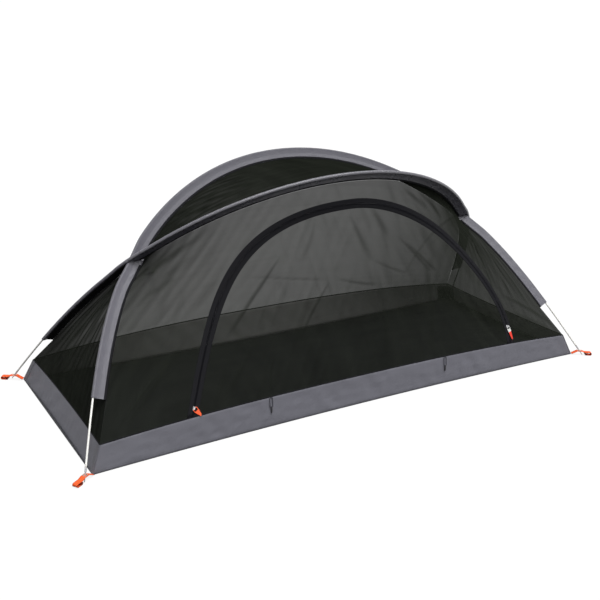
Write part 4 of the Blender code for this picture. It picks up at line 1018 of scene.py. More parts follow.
# Pieces
class TENT_OT_floor(bpy.types.Operator):
    """Add the black floor sheet"""

    bl_idname = "tent.floor"
    bl_label = "Floor"

    def execute(self, context):
        colours = context.scene.tent_colours
        cloth = context.scene.tent_cloth
        finish = woven("floor fabric", tuple(colours.floor), cloth, roughness=0.65, mottle=0.2, gloss=0.04)
        shares = np.linspace(0, 1, 121)
        front, rear = side_wall(FRONT, shares)[0], side_wall(REAR, shares)[0]
        grid = np.array(ruled(front, rear, np.linspace(0, 1, 49)))
        room = edge_fade(grid, 0.05)
        flat = grid[:, :, :2].reshape(-1, 2)
        waves = soft_noise(flat * [1.0, 1.6], 0.22, 4) + 0.5 * soft_noise(flat, 0.09, 5)
        lift = np.maximum(waves.reshape(room.shape), -0.6) + 0.6
        grid[:, :, 2] = FLOOR_LIFT + lift * room * FLOOR_WAVE
        sheet = put_grid("floor_sheet", grid, finish, SHELTER, nodes=["groundsheet"], slot="black_fabric")
        return {"FINISHED"}


def wall_grid(edges, columns, rows, seed, depth):
    """Grid of a wall from its foot to its top, with soft creases that fade at its edges."""
    foot, top = edges(np.linspace(0, 1, columns + 1))
    grid = np.array(ruled(foot, top, np.linspace(0, 1, rows + 1)))
    normal = normals_of(grid)
    reach = cloth_coordinates(grid)
    slanted = reach @ np.array([[1.0, 0.35], [0.8, 1.0]])
    waves = soft_noise(slanted * [1.0, 0.45], 0.085, seed) + 0.5 * soft_noise(reach, 0.035, seed + 1)
    grid += normal * (waves.reshape(grid.shape[:2]) * depth * edge_fade(grid, 0.03))[:, :, None]
    return grid


class TENT_OT_walls(bpy.types.Operator):
    """Add the grey walls with their corner seams and black edge binding"""

    bl_idname = "tent.walls"
    bl_label = "Walls"

    def execute(self, context):
        colours = context.scene.tent_colours
        cloth = context.scene.tent_cloth
        # The walls' pale inner face is painted light.
        fabric = woven("wall fabric", tuple(colours.wall), cloth, roughness=0.62, mottle=0.10,
                       stitch_rows=WALL_STITCHES, lining=tuple(colours.lining), end_shade=0.45)
        patch = woven("corner fabric", tuple(0.6 * part for part in colours.wall), cloth,
                      roughness=0.6, mottle=0.1, stitch_rows=CORNER_STITCHES)
        tape = ribbed("edge binding", tuple(colours.tape), BINDING_PITCH, roughness=0.65)
        spans = (
            ("front", FLOOR_LENGTH, 220, lambda shares: side_wall(FRONT, shares)),
            ("rear", FLOOR_LENGTH, 220, lambda shares: side_wall(REAR, shares)),
            ("left_end", FLOOR_WIDTH, 90, lambda shares: end_wall(LEFT, shares)),
            ("right_end", FLOOR_WIDTH, 90, lambda shares: end_wall(RIGHT, shares)),
        )
        for seed, (label, length, columns, edges) in enumerate(spans):
            grid = wall_grid(edges, columns, 12, 20 + 3 * seed, cloth.wall_fold)
            wall = put_grid(f"wall_{label}_fabric", grid, fabric, SHELTER, nodes=[f"wall_{label}"],
                            slot="grey_fabric", thickness=FABRIC_THICKNESS)
            top = grid[-1]
            tall = float(np.linalg.norm(top - grid[0], axis=1).mean())
            edge = tube(f"wall_{label}_binding", top, BINDING_RADIUS, 8, tape, SHELTER, flat=0.8,
                        slot="black_tape")
        for end in (LEFT, RIGHT):
            for side in (FRONT, REAR):
                self.corner(end, side, patch)
        return {"FINISHED"}

    def corner(self, end, side, finish):
        """Darker strip folded round one corner of the walls."""
        lines = []
        out = unit([end, side, 0.3])
        for far in CORNER_SIDE_STEPS:
            share = far / FLOOR_LENGTH
            foot, top = side_wall(side, [share if end == LEFT else 1 - share])
            lines.append((foot[0], top[0], unit([0.0, side, 0.3]) if far else out))
        for far in CORNER_END_STEPS:
            share = far / FLOOR_WIDTH
            foot, top = end_wall(end, [share if side == FRONT else 1 - share])
            lines.append((foot[0], top[0], unit([end, 0.0, 0.3])))
        steps = np.linspace(0.02, 0.99, 12)[:, None]
        rows = [foot * (1 - steps) + top * steps + away * lift
                for (foot, top, away), lift in zip(lines, CORNER_LIFTS)]
        name = f"corner_{'front' if side == FRONT else 'rear'}_{'left' if end == LEFT else 'right'}"
        put_grid(name, rows, finish, SHELTER, slot="grey_fabric")


class TENT_OT_pocket(bpy.types.Operator):
    """Add the small pocket in the far right corner"""

    bl_idname = "tent.pocket"
    bl_label = "Corner pocket"

    def execute(self, context):
        colours = context.scene.tent_colours
        cloth = context.scene.tent_cloth
        fabric = woven("pocket fabric", (0.010, 0.010, 0.011), cloth, roughness=0.7, mottle=0.15, gloss=0.04,
                       stitch_rows=CORNER_STITCHES)
        tape = ribbed("pocket hem", tuple(colours.tape), TAPE_RIBS, roughness=0.65)
        along = 1 - np.linspace(POCKET_REACHES[0], 0.0, 15) / FLOOR_LENGTH
        across = 1 - np.linspace(0.0, POCKET_REACHES[1], 11)[1:] / FLOOR_WIDTH
        from_rear = np.array([0, POCKET_STAND, 0])
        from_end = np.array([POCKET_STAND, 0, 0])
        lines = []
        for rear_line, end_line in zip(side_wall(REAR, along), end_wall(RIGHT, across)):
            line = np.concatenate([rear_line - from_rear, end_line - from_end])
            line[len(along) - 1] -= from_end
            lines.append(line)
        heights = np.linspace(0.04, 0.85, 13)
        grid = np.array(ruled(*lines, heights))
        sag = bump(np.linspace(0, 1, grid.shape[1]), 2.0)[None, :]
        sag = sag * np.linspace(0, 1, len(heights))[:, None] ** 2
        grid[:, :, :2] -= sag[:, :, None] * POCKET_SAG
        pocket = put_grid("pocket_fabric", grid, fabric, SHELTER, nodes=["corner_pocket"],
                          slot="black_fabric", thickness=FABRIC_THICKNESS)
        hem = tube("pocket_hem", grid[-1], 0.0016, 8, tape, SHELTER, slot="black_tape")
        return {"FINISHED"}


class TENT_OT_poles(bpy.types.Operator):
    """Add the two bent poles and finish their pins, ferrules and cords"""

    bl_idname = "tent.poles"
    bl_label = "Poles"

    def execute(self, context):
        colours = context.scene.tent_colours
        rod = glass_fibre("pole glass fibre", tuple(colours.pole))
        steel = metal("pole steel", (0.36, 0.36, 0.37), 0.3)
        elastic = moulded("pole elastic", (0.80, 0.80, 0.78), 0.7)
        for side, label in ((REAR, "rear"), (FRONT, "front")):
            hoop = Hoop(side)
            places = np.linspace(TIP_LENGTH, hoop.length - TIP_LENGTH, 420)
            sections = [f"{label}_pole_section_{number}" for number in range(1, 6)]
            tube(f"{label}_pole_rod", hoop.frame(places)[0], POLE_RADIUS, 16, rod, SHELTER,
                 nodes=sections, slot="pole_glassfibre")
            for number in range(1, 5):
                dress(f"{label}_pole_ferrule_{number}", steel)
            for end in ("left", "right"):
                dress(f"{label}_pole_tip_{end}", steel)
            dress(f"{label}_shock_cord", elastic)
        return {"FINISHED"}


def band_profile():
    """Cross-section of a sleeve, a drop round the pole on a flat band: inward shares and sideways places."""
    points = list(BAND_SECTION)
    for turn in np.radians(TUNNEL_ANGLES):
        points.append((math.cos(turn) * TUNNEL_RADIUS / BAND_WIDTH, math.sin(turn) * TUNNEL_RADIUS))
    points += [(share, -aside) for share, aside in reversed(BAND_SECTION)]
    return np.array(points)


def sleeve(name, hoop, start, end, depths, finish, node, seed):
    """Sleeve swept along a hoop, with puckers beside its seams."""
    places = np.linspace(start, end, max(24, int(abs(end - start) / 0.006)))
    points, inward, sideways = hoop.frame(places)
    deep = depths(points, inward)
    profile = band_profile()
    rings = np.zeros((len(places), len(profile), 3))
    uv = np.zeros((len(places), len(profile), 2))
    tunnel = TUNNEL_RADIUS / BAND_WIDTH * 1.02
    for index, (share, aside) in enumerate(profile):
        on_band = share > tunnel
        depth = share * (deep if on_band else np.full(len(places), BAND_WIDTH))
        ripple = soft_noise(np.stack([places, np.full(len(places), share * 0.02)], 1), 0.028, seed)
        swell = ripple * (BAND_PUCKER if on_band else TUNNEL_PUCKER)
        rings[:, index] = points + inward * depth[:, None] + sideways * (aside + swell)[:, None]
        uv[:, index] = np.stack([np.abs(places - start), np.full(len(places), depth.max())], 1)
    faces = grid_faces(len(places), len(profile), loop=True)
    return put(name, rings.reshape(-1, 3), faces, finish, SHELTER, uv.reshape(-1, 2),
               nodes=[node], slot="sleeve_fabric")


def binding_strip(name, hoop, start, end, depths, width, finish):
    """Black tape folded over the inner edge of a sleeve's band."""
    places = np.linspace(start, end, max(24, int(abs(end - start) / 0.008)))
    points, inward, sideways = hoop.frame(places)
    deep = depths(points, inward)
    rows = []
    for share, aside in BINDING_SECTION:
        depth = np.maximum(deep + share * width, TUNNEL_RADIUS)
        rows.append(points + inward * depth[:, None] + sideways * aside)
    return put_grid(name, rows, finish, SHELTER, slot="black_tape")


class TENT_OT_sleeves(bpy.types.Operator):
    """Add the pole sleeves with their bindings"""

    bl_idname = "tent.sleeves"
    bl_label = "Pole sleeves"

    def execute(self, context):
        colours = context.scene.tent_colours
        cloth = context.scene.tent_cloth

        def cover(name, share, gloss, roughness=0.36, **lining):
            """Sleeve fabric of a share of the set colour."""
            return woven(name, tuple(share * part for part in colours.sleeve), cloth, roughness, 0.08, gloss,
                         SLEEVE_STITCHES, groove_depth=0.6, **lining)

        fabric = cover("sleeve fabric", 1.0, 0.95, 0.28)
        # Painted shade: the rear arch's sleeve is a darker copy of the same sleeve fabric, at 0.90 of its
        # colour.
        crown_painted_shade = cover("crown sleeve fabric", 0.90, 0.36)
        # Leg sleeves: the inner faces of their bands carry painted shade.
        leg_sleeve_inner_shaded = cover("leg sleeve fabric", 1.0, 0.50, lining=SLEEVE_INNER_SHADE, lining_start=TUNNEL_RADIUS)
        tape = ribbed("sleeve binding", tuple(colours.tape), BINDING_PITCH, roughness=0.65)
        for side, label in ((REAR, "rear"), (FRONT, "front")):
            hoop = Hoop(side)
            far = hoop.length - hoop.crossing

            def arch_depth(points, inward):
                """Width of the band, which stops at the other hoop's plane."""
                room = points[:, 1] * side / np.maximum(-inward[:, 1] * side, 0.001)
                return np.clip(room, TUNNEL_RADIUS, BAND_WIDTH)

            def leg_depth(points, inward):
                """Full width of the band."""
                return np.full(len(points), BAND_WIDTH)

            spans = (
                ("left_leg", SLEEVE_START, hoop.crossing + SLEEVE_LEG_LAP, leg_depth),
                ("arch", hoop.crossing - SLEEVE_ARCH_LAP, far + SLEEVE_ARCH_LAP, arch_depth),
                ("right_leg", hoop.length - SLEEVE_START, far - SLEEVE_LEG_LAP, leg_depth),
            )
            for seed, (part, start, end, depths) in enumerate(spans):
                name = f"{label}_{part}_sleeve"
                finish = leg_sleeve_inner_shaded
                edge_start, edge_end = start, end
                if part == "arch":
                    finish = crown_painted_shade if side == REAR else fabric
                    edge_start = hoop.seam_crossing()
                    edge_end = hoop.length - edge_start
                sleeve(name, hoop, start, end, depths, finish, f"{label}_sleeve_{part}", 40 + seed)
                binding_strip(f"{name}_binding", hoop, edge_start, edge_end, depths, cloth.binding, tape)
            for end in (LEFT, RIGHT):
                places = np.linspace(hoop.crossing + CROSSING_TAB_START, hoop.seam_crossing(), 14)
                points, inward, _ = hoop.frame(places)
                room = np.clip(-points[:, 1] / inward[:, 1], 0.0, BAND_WIDTH)
                rows = [points + inward * (room + (BAND_WIDTH - room) * share)[:, None]
                        for share in np.linspace(0, 1, 6)]
                name = f"{label}_crossing_tab_{'left' if end == LEFT else 'right'}"
                put_grid(name, np.array(rows) * [-end, 1, 1], fabric, SHELTER, slot="sleeve_fabric",
                         thickness=CROSSING_TAB_THICKNESS)
        return {"FINISHED"}


def front_parts():
    """Front net's panel, its outer edge marks and the zip's line."""
    edge, marks = sewn_edge(FRONT, Hoop(REAR), Hoop(FRONT))
    return Panel(FRONT, edge), marks, arch_line()


def surround_rim(edge, marks, line, fine):
    """Outer edge of the surround, one point for each column beside the zip."""
    outer = beside_arch(line, ZIP_GAP / 2 + TAPE_WIDTH + TAPE_EDGE_GAP, 36 * fine)
    crossing, apex = marks
    halves = []
    for end in (LEFT, RIGHT):
        line_half = edge if end == LEFT else edge[::-1]
        foot_x = outer[0, 0] if end == LEFT else outer[-1, 0]
        foot_x = np.linspace(foot_x + end * SURROUND_FOOT_STEP, line_half[0, 0], 3 * fine + 1)
        foot = wall_top(FRONT, foot_x)
        leg = resample(line_half[: crossing + 1], np.linspace(0, 1, 8 * fine + 1))
        top = resample(line_half[crossing: apex + 1], np.linspace(0, 1, 7 * fine + 1))
        halves.append(np.concatenate([foot, leg[1:], top[1:]]))
    return np.concatenate([halves[0], halves[1][::-1][1:]]), outer


def push_folds(grid, folds, outward, scale, seed):
    """Push a net's grid out along its listed folds and along small random ones."""
    normal = normals_of(grid)
    normal[(normal @ np.asarray(outward, dtype=float)) < 0] *= -1
    flat = grid[:, :, [0, 2]]
    depth, gathered = fold_depth(flat, folds)
    depth = depth * scale
    turned = (flat.reshape(-1, 2) * [-1, 1]) @ np.array([[1.0, 0.5], [-0.6, 0.8]])
    mirrored = (flat.reshape(-1, 2)) @ np.array([[1.0, 0.5], [-0.6, 0.8]])
    right = np.clip(flat[:, :, 0] / 0.3 + 0.5, 0, 1)
    small = soft_noise(turned * [1.3, 0.22], 0.075, seed).reshape(flat.shape[:2]) * right
    small += soft_noise(mirrored * [1.3, 0.22], 0.075, seed + 9).reshape(flat.shape[:2]) * (1 - right)
    depth = depth + 0.0012 * small * scale
    gathered = gathered + 0.16 * np.clip(small, 0, 1) ** 3
    return grid + normal * (depth * edge_fade(grid, 0.022))[:, :, None], gathered


def net_sheet(name, node, grid, gathered, finish, body, flat):
    """Make a net panel and work out its own area within a width and length."""
    piece = put_grid(name, grid, finish, body, gathered=gathered, nodes=[node], slot="black_net")
    area = min(max(grid_area(grid), 0.3 * flat[0] * flat[1]), flat[0] * flat[1])


class TENT_OT_nets(bpy.types.Operator):
    """Add the fixed net panels"""

    bl_idname = "tent.nets"
    bl_label = "Net panels"

    def execute(self, context):
        colours = context.scene.tent_colours
        cloth = context.scene.tent_cloth
        net = netting("black net", tuple(colours.net), cloth)
        hoop = Hoop(REAR)
        self.front(net, cloth)
        self.rear(net, cloth, hoop)
        # Painted shade: the roof net is a darker copy of the same net, at 0.72 of its colour, with threads
        # that also cover more.
        roof_painted_shade = netting("roof net", tuple(0.72 * part for part in colours.net), cloth, density=1.30)
        self.roof(roof_painted_shade, cloth, hoop)
        for end, label, depth in ((LEFT, "left", 0.0026), (RIGHT, "right", 0.0010)):
            self.end(end, label, depth, net, cloth, hoop)
        return {"FINISHED"}

    def front(self, net, cloth):
        """Front panel round the door."""
        panel, marks, line = front_parts()
        rim, arch = surround_rim(panel.edge, marks, line, 8)
        inward = ruled(rim[:, [0, 2]], arch, np.linspace(0, 1, 41)[1:])
        rows = [rim] + [panel.at(*flat.T) for flat in inward]
        grid, gathered = push_folds(np.array(rows), SURROUND_FOLDS, (0, FRONT, 0), cloth.net_fold, 61)
        net_sheet("front_net", "net_front_surround", grid, gathered, net, SHELTER, LONG_NET_FLAT)

    def rear(self, net, cloth, hoop):
        """Whole rear panel."""
        edge, _ = sewn_edge(REAR, Hoop(FRONT), hoop)
        panel = Panel(REAR, edge)
        low = wall_top(REAR, edge[:, 0])
        low[:, 0] = edge[:, 0]
        upward = ruled(low[:, [0, 2]], edge[:, [0, 2]], np.linspace(0, 1, 81))
        rows = [panel.at(*flat.T) for flat in upward]
        grid, gathered = push_folds(np.array(rows), REAR_FOLDS, (0, REAR, 0), cloth.net_fold, 62)
        net_sheet("rear_net", "net_rear", grid, gathered, net, SHELTER, LONG_NET_FLAT)

    def roof(self, net, cloth, hoop):
        """Panel between the two arches, straight from one to the other."""
        start = hoop.seam_crossing() + NET_END_GAP
        seam = hoop.seam(np.linspace(start, hoop.length - start, 261))
        grid = np.array([seam * [1, share, 1] for share in np.linspace(1, -1, 61)])
        flat = grid[:, :, :2].reshape(-1, 2)
        ripples = soft_noise(flat * [0.35, 1.0], 0.030, 63).reshape(grid.shape[:2])
        ends = np.clip(1.25 - 1.1 * np.abs(np.abs(grid[:, :, 0]) - 0.62) / 0.4, 0.1, 1)
        grid[:, :, 2] += ripples * ends * 0.0022 * edge_fade(grid, 0.02) * cloth.net_fold
        gathered = np.clip(ripples * ends, 0, 1) * 0.5
        net_sheet("roof_net", "net_roof", grid, gathered, net, SHELTER, ROOF_NET_FLAT)

    def end(self, end, label, depth, net, cloth, hoop):
        """Panel of one end, from the wall's top between the two legs up to the crossing."""
        stop = hoop.seam_crossing() - NET_END_GAP
        seam = hoop.seam(np.linspace(SLEEVE_START, stop, 91)) * [-end, 1, 1]
        shares = np.linspace(0, 1, 81)
        foot = end_wall(end, shares)[1]
        across = [np.array([point * [1, 1 - 2 * share, 1] for share in shares]) for point in seam]
        rows = [foot] + ruled(foot, across[0], np.linspace(0, 1, 10)[1:-1]) + across
        grid = np.array(rows)
        normal = normals_of(grid)
        normal[(normal @ np.array([end, 0, 0.5])) < 0] *= -1
        wide = np.broadcast_to(shares * FLOOR_WIDTH, grid.shape[:2])
        climb = grid[:, :, 2] * 0.22
        ripples = soft_noise(np.stack([wide, climb], 2).reshape(-1, 2), 0.042, 64 + end)
        ripples = ripples.reshape(grid.shape[:2]) * (0.5 + grid[:, :, 2] / HOOP_HEIGHT)
        push = ripples * (depth * cloth.net_fold) * edge_fade(grid, 0.02)
        grid = grid + normal * push[:, :, None]
        gathered = np.clip(ripples, 0, 1) * 0.12
        net_sheet(f"{label}_end_net", f"net_{label}_end", grid, gathered, net, SHELTER, END_NET_FLAT)


class TENT_OT_door(bpy.types.Operator):
    """Add the net door, the zip with its teeth, and finish the sliders and pulls"""

    bl_idname = "tent.door"
    bl_label = "Door and zip"

    def execute(self, context):
        colours = context.scene.tent_colours
        cloth = context.scene.tent_cloth
        net = netting("door net", tuple(colours.net), cloth)
        tape = ribbed("zip tape", tuple(colours.tape), TAPE_RIBS, roughness=0.7)
        coil = ribbed("zip coil", (0.012, 0.012, 0.015), COIL_PITCH, roughness=0.6)
        panel, _, line = front_parts()
        self.door(panel, line, net, cloth)
        for sign, body, label in ((1, SHELTER, "frame"), (-1, HEM, "door")):
            self.tape(panel, line, sign, body, label, tape)
            self.teeth(panel, line, sign, body, label, coil)
        slider = metal("slider metal", (0.62, 0.62, 0.64), 0.28)
        self.pull("left", slider, (0.85, 0.10, 0.02), 0.004, 0.002)
        self.pull("right", slider, (0.72, 0.03, 0.012), 0.006, 0.026)
        return {"FINISHED"}

    def door(self, panel, line, net, cloth):
        """Door panel, from the wall's top to the zip."""
        columns = 288
        arch = beside_arch(line, -(ZIP_GAP / 2 + TAPE_WIDTH + TAPE_EDGE_GAP), columns)
        hem_x = np.linspace(arch[0, 0], arch[-1, 0], columns + 1)
        hem = np.stack([hem_x, wall_top(FRONT, hem_x)[:, 2] + NET_FOOT_GAP], 1)
        rows = [panel.at(*flat.T) for flat in ruled(hem, arch, np.linspace(0, 1, 101))]
        grid, gathered = push_folds(np.array(rows), DOOR_FOLDS, (0, FRONT, 0), cloth.net_fold, 65)
        net_sheet("door_net", "net_door", grid, gathered, net, HEM, DOOR_FLAT)

    def tape(self, panel, line, sign, body, label, finish):
        """One half of the zip's tape, raised beside the coil."""
        near = 0.0002
        edge = ZIP_GAP / 2 + TAPE_WIDTH
        section = ((near, 0.0006), (near + 0.0025, 0.0010), (near + 0.0042, 0.0006), (near + 0.009, 0.0006),
                   (edge, 0.0006), (edge + 0.0016, 0.0001))
        rows = [panel.at(*beside_arch(line, sign * place, 240).T) + [0, -lift, 0] for place, lift in section]
        piece = put_grid(f"zip_{label}_tape", rows, finish, body, nodes=[f"zip_tape_{label}"],
                         slot="black_tape", thickness=TAPE_THICKNESS)
        "front_net" if body == SHELTER else "door_net"

    def pull(self, label, slider, colour, tip_length, window_length):
        """Finish a slider, and its pull with a dark tip and a pale window."""
        round_edges(dress(f"zip_slider_{label}", slider), 0.0004)
        low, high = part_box(f"zip_slider_{label}")
        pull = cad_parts[f"zip_pull_{label}"]
        points = np.array([pull.matrix_world @ vertex.co for vertex in pull.data.vertices])
        gaps = np.linalg.norm(points - np.array((low + high) / 2), axis=1)
        tip = points[gaps.argmax()]
        reach = float(np.linalg.norm(points - tip, axis=1).max())
        dark, pale = (0.03, 0.012, 0.012, 1.0), (0.62, 0.62, 0.60, 1.0)
        bands = (tip, tip_length, dark, reach - window_length, pale)
        finish = moulded(f"pull plastic {label}", colour, 0.42, bands)
        round_edges(dress(f"zip_pull_{label}", finish), 0.0004)

    def teeth(self, panel, line, sign, body, label, finish):
        """Row of coil teeth along one half of the zip."""
        inner = panel.at(*beside_arch(line, sign * COIL_NEAR, 240).T)
        outer = panel.at(*beside_arch(line, sign * COIL_FAR, 240).T)
        reach = lengths_along(inner)
        count = int(reach[-1] / COIL_PITCH)
        places = (np.arange(count) + (0.25 if sign > 0 else 0.75)) * COIL_PITCH
        start = pick(inner, reach, places)
        end = pick(outer, reach, places)
        along = unit(np.gradient(start, axis=0))
        across = unit(end - start)
        out = unit(np.cross(along, across))
        out[out[:, 1] > 0] *= -1
        corners = ((0, 1, 3, 2), (4, 6, 7, 5), (0, 4, 5, 1), (2, 3, 7, 6), (0, 2, 6, 4), (1, 5, 7, 3))
        points = []
        faces = []
        for near, far, onward, away in zip(start, end, along, out):
            first = len(points)
            for base, wide in ((near, 0.0005), (far, 0.0008)):
                for lift in (0.0004, 0.0021):
                    points.append(base + onward * wide + away * lift)
                    points.append(base - onward * wide + away * lift)
            faces += [tuple(first + corner for corner in quad) for quad in corners]
        put(f"zip_{label}_teeth", points, faces, finish, body, slot="black_tape")


class TENT_OT_ties(bpy.types.Operator):
    """Add the cord loops and toggles that hold the rolled door"""

    bl_idname = "tent.ties"
    bl_label = "Door ties"

    def execute(self, context):
        cord = braided("tie cord", (0.045, 0.045, 0.060))
        plastic = moulded("toggle plastic", (0.016, 0.016, 0.019), 0.4)
        for label, x in zip(("left", "right"), TIE_PLACES):
            share = x / (FLOOR_LENGTH - 2 * CORNER_LEAN_ALONG) + 1 / 2
            foot, top = (edge[0] for edge in side_wall(FRONT, [share]))
            down = unit((foot - top) * [0, 1, 1])
            outward = np.cross(down, [1, 0, 0])
            outward = outward if outward[1] < 0 else -outward
            first, last = (top + down * drop + outward * stand for drop, stand in zip(TIE_DROPS, TIE_STANDS))
            line = self.loop_line(first, last)
            piece = tube(f"tie_cord_{label}", line, TIE_RADIUS, 10, cord, SHELTER,
                         nodes=[f"tie_loop_{label}"], slot="tie_cord")
            round_edges(dress(f"toggle_{label}", plastic), 0.0003)
        return {"FINISHED"}

    def loop_line(self, first, last):
        """Line of a loop that hangs from first to last, down its right side and up its left."""
        along = unit(last - first)
        turns = np.linspace(0, math.pi / 2, 6)[:, None]
        halves = []
        for side in (RIGHT, LEFT):
            across = np.array([side, 0.0, 0.0])
            aside = across * (TIE_HALF - TIE_CORNER)
            upper = first + aside + (across * np.sin(turns) + along * (1 - np.cos(turns))) * TIE_CORNER
            lower = last + aside + (across * np.cos(turns) + along * (np.sin(turns) - 1)) * TIE_CORNER
            halves.append(np.concatenate([[first + across * TIE_END_GAP], upper, lower]))
        return resample(np.concatenate([halves[0], halves[1][::-1]]), np.linspace(0, 1, 60))


def strap_line(reach):
    """Side view of a strap as distances from the corner and heights."""
    low = LOOP_GROUND_GAP + STRAP_THICKNESS / 2
    high = LOOP_GROUND_GAP + LOOP_HEIGHT - STRAP_THICKNESS / 2
    near = reach + STRAP_FLAT_HALF + STRAP_TAIL
    far_radius = (high - low) / 2
    near_radius = (high - STRAP_THICKNESS - LOOP_AIR - low) / 2
    end = near + LOOP_LENGTH - far_radius - STRAP_THICKNESS / 2
    angles = np.linspace(0, math.pi, 13)
    line = [(STRAP_CORNER_GAP, STRAP_START_HEIGHT), (reach - STRAP_FLAT_HALF, STRAP_HEIGHT),
            (reach + STRAP_FLAT_HALF, STRAP_HEIGHT), (near, high)]
    line += [(end + far_radius * math.sin(angle), low + far_radius * (1 + math.cos(angle)))
             for angle in angles]
    line += [(near + near_radius * (1 - math.sin(angle)), low + near_radius * (1 - math.cos(angle)))
             for angle in angles]
    line.append((near + near_radius + LOOP_LAP, low + 2 * near_radius))
    return np.array(line)


class TENT_OT_straps(bpy.types.Operator):
    """Add the orange corner straps and finish their eyelets"""

    bl_idname = "tent.straps"
    bl_label = "Corner straps"

    def execute(self, context):
        colours = context.scene.tent_colours
        webbing = ribbed("orange webbing", tuple(colours.webbing), WEBBING_RIBS, roughness=0.65,
                         edge=STRAP_WIDTH, tip=WEBBING_LOOP_SHADE, gloss=0.3)
        steel = metal("eyelet metal", (0.62, 0.58, 0.50), 0.32)
        for place, hoop in (("front", Hoop(REAR)), ("rear", Hoop(FRONT))):
            for end, label in ((LEFT, "left"), (RIGHT, "right")):
                self.strap(hoop, end, f"{place}_{label}", webbing)
                round_edges(dress(f"eyelet_{place}_{label}", steel), 0.0002)
        return {"FINISHED"}

    def strap(self, hoop, end, name, finish):
        """Strap from a floor corner out to the pole tip, with its folded end."""
        feet = hoop.points[:2] if end == LEFT else hoop.points[::-1][:2]
        rise = feet[1] - feet[0]
        hole = feet[0] + rise * STRAP_HEIGHT / rise[2]
        corner = np.array([end * FLOOR_LENGTH / 2, -hoop.side * FLOOR_WIDTH / 2, 0])
        run = (hole - corner) * [1, 1, 0]
        away = unit(run)
        across = np.array([-away[1], away[0], 0])
        flat = resample(strap_line(float(np.linalg.norm(run))), np.linspace(0, 1, 110))
        rows = []
        for share in np.linspace(-1, 1, 9):
            side = corner + across * share * STRAP_WIDTH / 2
            cup = WEBBING_CUP * (1 - share * share)
            rows.append([side + away * far + np.array([0, 0, height + cup]) for far, height in flat])
        grid = np.array(rows)
        piece = put_grid(f"strap_{name}_webbing", grid, finish, SHELTER, nodes=[f"strap_{name}"],
                         slot="orange_webbing", thickness=WEBBING_THICKNESS)


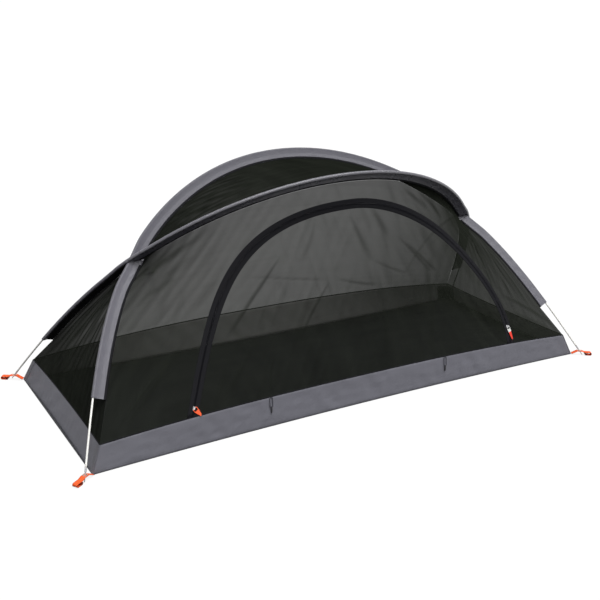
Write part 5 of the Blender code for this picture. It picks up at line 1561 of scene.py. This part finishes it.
class TENT_OT_stage(bpy.types.Operator):
    """Add the floor, the soft studio light and the camera"""

    bl_idname = "tent.stage"
    bl_label = "Stage"

    def execute(self, context):
        scene = context.scene
        stage = scene.tent_stage
        scene.view_settings.view_transform = "Standard"
        self.ground(scene)
        self.sky(scene, stage)
        self.lamp(scene, stage)
        self.camera(scene, stage)
        return {"FINISHED"}

    def ground(self, scene):
        """Pale floor that keeps a soft shadow and meets the white background."""
        finish = new_finish("studio floor")
        cloud = finish.noise(finish.here(), 0.6, 2.0)
        tint = finish.between(cloud, (0.098, 0.098, 0.098, 1.0), (0.102, 0.102, 0.102, 1.0))
        lit = finish.node("ShaderNodeBsdfDiffuse", None, {"Color": tint}, "BSDF")
        level = finish.shown() * STAGE_GLOW
        glow = finish.node("ShaderNodeEmission", None, {"Color": WHITE, "Strength": level}, "Emission")
        both = finish.node("ShaderNodeAddShader", None, {0: lit, 1: glow}, "Shader")
        finish.node("ShaderNodeOutputMaterial", None, {"Surface": both})
        turns = ((-1, -1), (1, -1), (1, 1), (-1, 1))
        points = [(STAGE_HALF * x, STAGE_HALF * y, STAGE_LEVEL) for x, y in turns]
        mesh = bpy.data.meshes.new("studio_floor")
        mesh.from_pydata(points, [], [(0, 1, 2, 3)])
        mesh.materials.append(finish.owner)
        ground = bpy.data.objects.new("studio_floor", mesh)
        scene.collection.objects.link(ground)

    def sky(self, scene, stage):
        """Even light, and white where the camera, gloss or clear pieces see it."""
        world = bpy.data.worlds.new("studio light")
        scene.world = world
        finish = Finish(world)
        shown = finish.shown()
        way = finish.node("ShaderNodeTexCoord", None, None, "Generated")
        height = finish.part_of(way, "Z").at_least(0.0)
        level = stage.sky * (0.22 + 0.78 * height)
        strength = level + shown * (1.0 - level)
        sockets = {"Color": WHITE, "Strength": strength}
        light = finish.node("ShaderNodeBackground", None, sockets, "Background")
        finish.node("ShaderNodeOutputWorld", None, {"Surface": light})

    def lamp(self, scene, stage):
        """Wide soft lamp high on the camera's side."""
        data = bpy.data.lights.new("key_lamp", "SUN")
        data.energy = stage.key
        data.angle = LAMP_SPREAD
        lamp = bpy.data.objects.new("key_lamp", data)
        lamp.location = LAMP_PLACE
        lamp.rotation_mode = "QUATERNION"
        lamp.rotation_quaternion = Vector(LAMP_WAY).to_track_quat("-Z", "Y")
        scene.collection.objects.link(lamp)

    def camera(self, scene, stage):
        """Camera at the photograph's angle."""
        data = bpy.data.cameras.new("camera")
        data.lens = stage.lens
        data.sensor_width = SENSOR_WIDTH
        camera = bpy.data.objects.new("camera", data)
        scene.collection.objects.link(camera)
        around, above, roll = stage.azimuth, stage.elevation, stage.roll
        level = math.cos(above)
        back = Vector((math.sin(around) * level, -math.cos(around) * level, math.sin(above)))
        right = (-back).cross(Vector((0, 0, 1))).normalized()
        up = right.cross(-back)
        turned = right * math.cos(roll) + up * math.sin(roll)
        upright = up * math.cos(roll) - right * math.sin(roll)
        place = Vector(stage.target) + back * stage.distance
        camera.matrix_world = Matrix((
            (turned.x, upright.x, back.x, place.x),
            (turned.y, upright.y, back.y, place.y),
            (turned.z, upright.z, back.z, place.z),
            (0.0, 0.0, 0.0, 1.0),
        ))
        scene.camera = camera


class TENT_PT_panel(bpy.types.Panel):
    """Sidebar panel that lists the settings and the pieces"""

    bl_label = "Net tent"
    bl_idname = "TENT_PT_panel"
    bl_space_type = "VIEW_3D"
    bl_region_type = "UI"
    bl_category = "Net tent"

    def draw(self, context):
        layout = self.layout
        for group in (context.scene.tent_cloth, context.scene.tent_colours, context.scene.tent_stage):
            box = layout.box()
            for name in group.bl_rna.properties.keys():
                if name not in ("rna_type", "name"):
                    box.prop(group, name)
        for step in STEPS:
            layout.operator(step.bl_idname)


STEPS = (
    TENT_OT_floor,
    TENT_OT_walls,
    TENT_OT_pocket,
    TENT_OT_poles,
    TENT_OT_sleeves,
    TENT_OT_nets,
    TENT_OT_door,
    TENT_OT_ties,
    TENT_OT_straps,
    TENT_OT_stage,
)
CLASSES = (TentCloth, TentColours, TentStage) + STEPS + (TENT_PT_panel,)


def register():
    """Register the settings, the pieces and the panel."""
    for item in CLASSES:
        bpy.utils.register_class(item)
    bpy.types.Scene.tent_cloth = bpy.props.PointerProperty(type=TentCloth)
    bpy.types.Scene.tent_colours = bpy.props.PointerProperty(type=TentColours)
    bpy.types.Scene.tent_stage = bpy.props.PointerProperty(type=TentStage)


def unregister():
    """Remove the settings, the pieces and the panel."""
    del bpy.types.Scene.tent_stage
    del bpy.types.Scene.tent_colours
    del bpy.types.Scene.tent_cloth
    for item in reversed(CLASSES):
        bpy.utils.unregister_class(item)


def main():
    """Build every piece in order."""
    register()
    bpy.ops.tent.floor()
    bpy.ops.tent.walls()
    bpy.ops.tent.pocket()
    bpy.ops.tent.poles()
    bpy.ops.tent.sleeves()
    bpy.ops.tent.nets()
    bpy.ops.tent.door()
    bpy.ops.tent.ties()
    bpy.ops.tent.straps()
    bpy.ops.tent.stage()


if __name__ == "__main__":
    main()
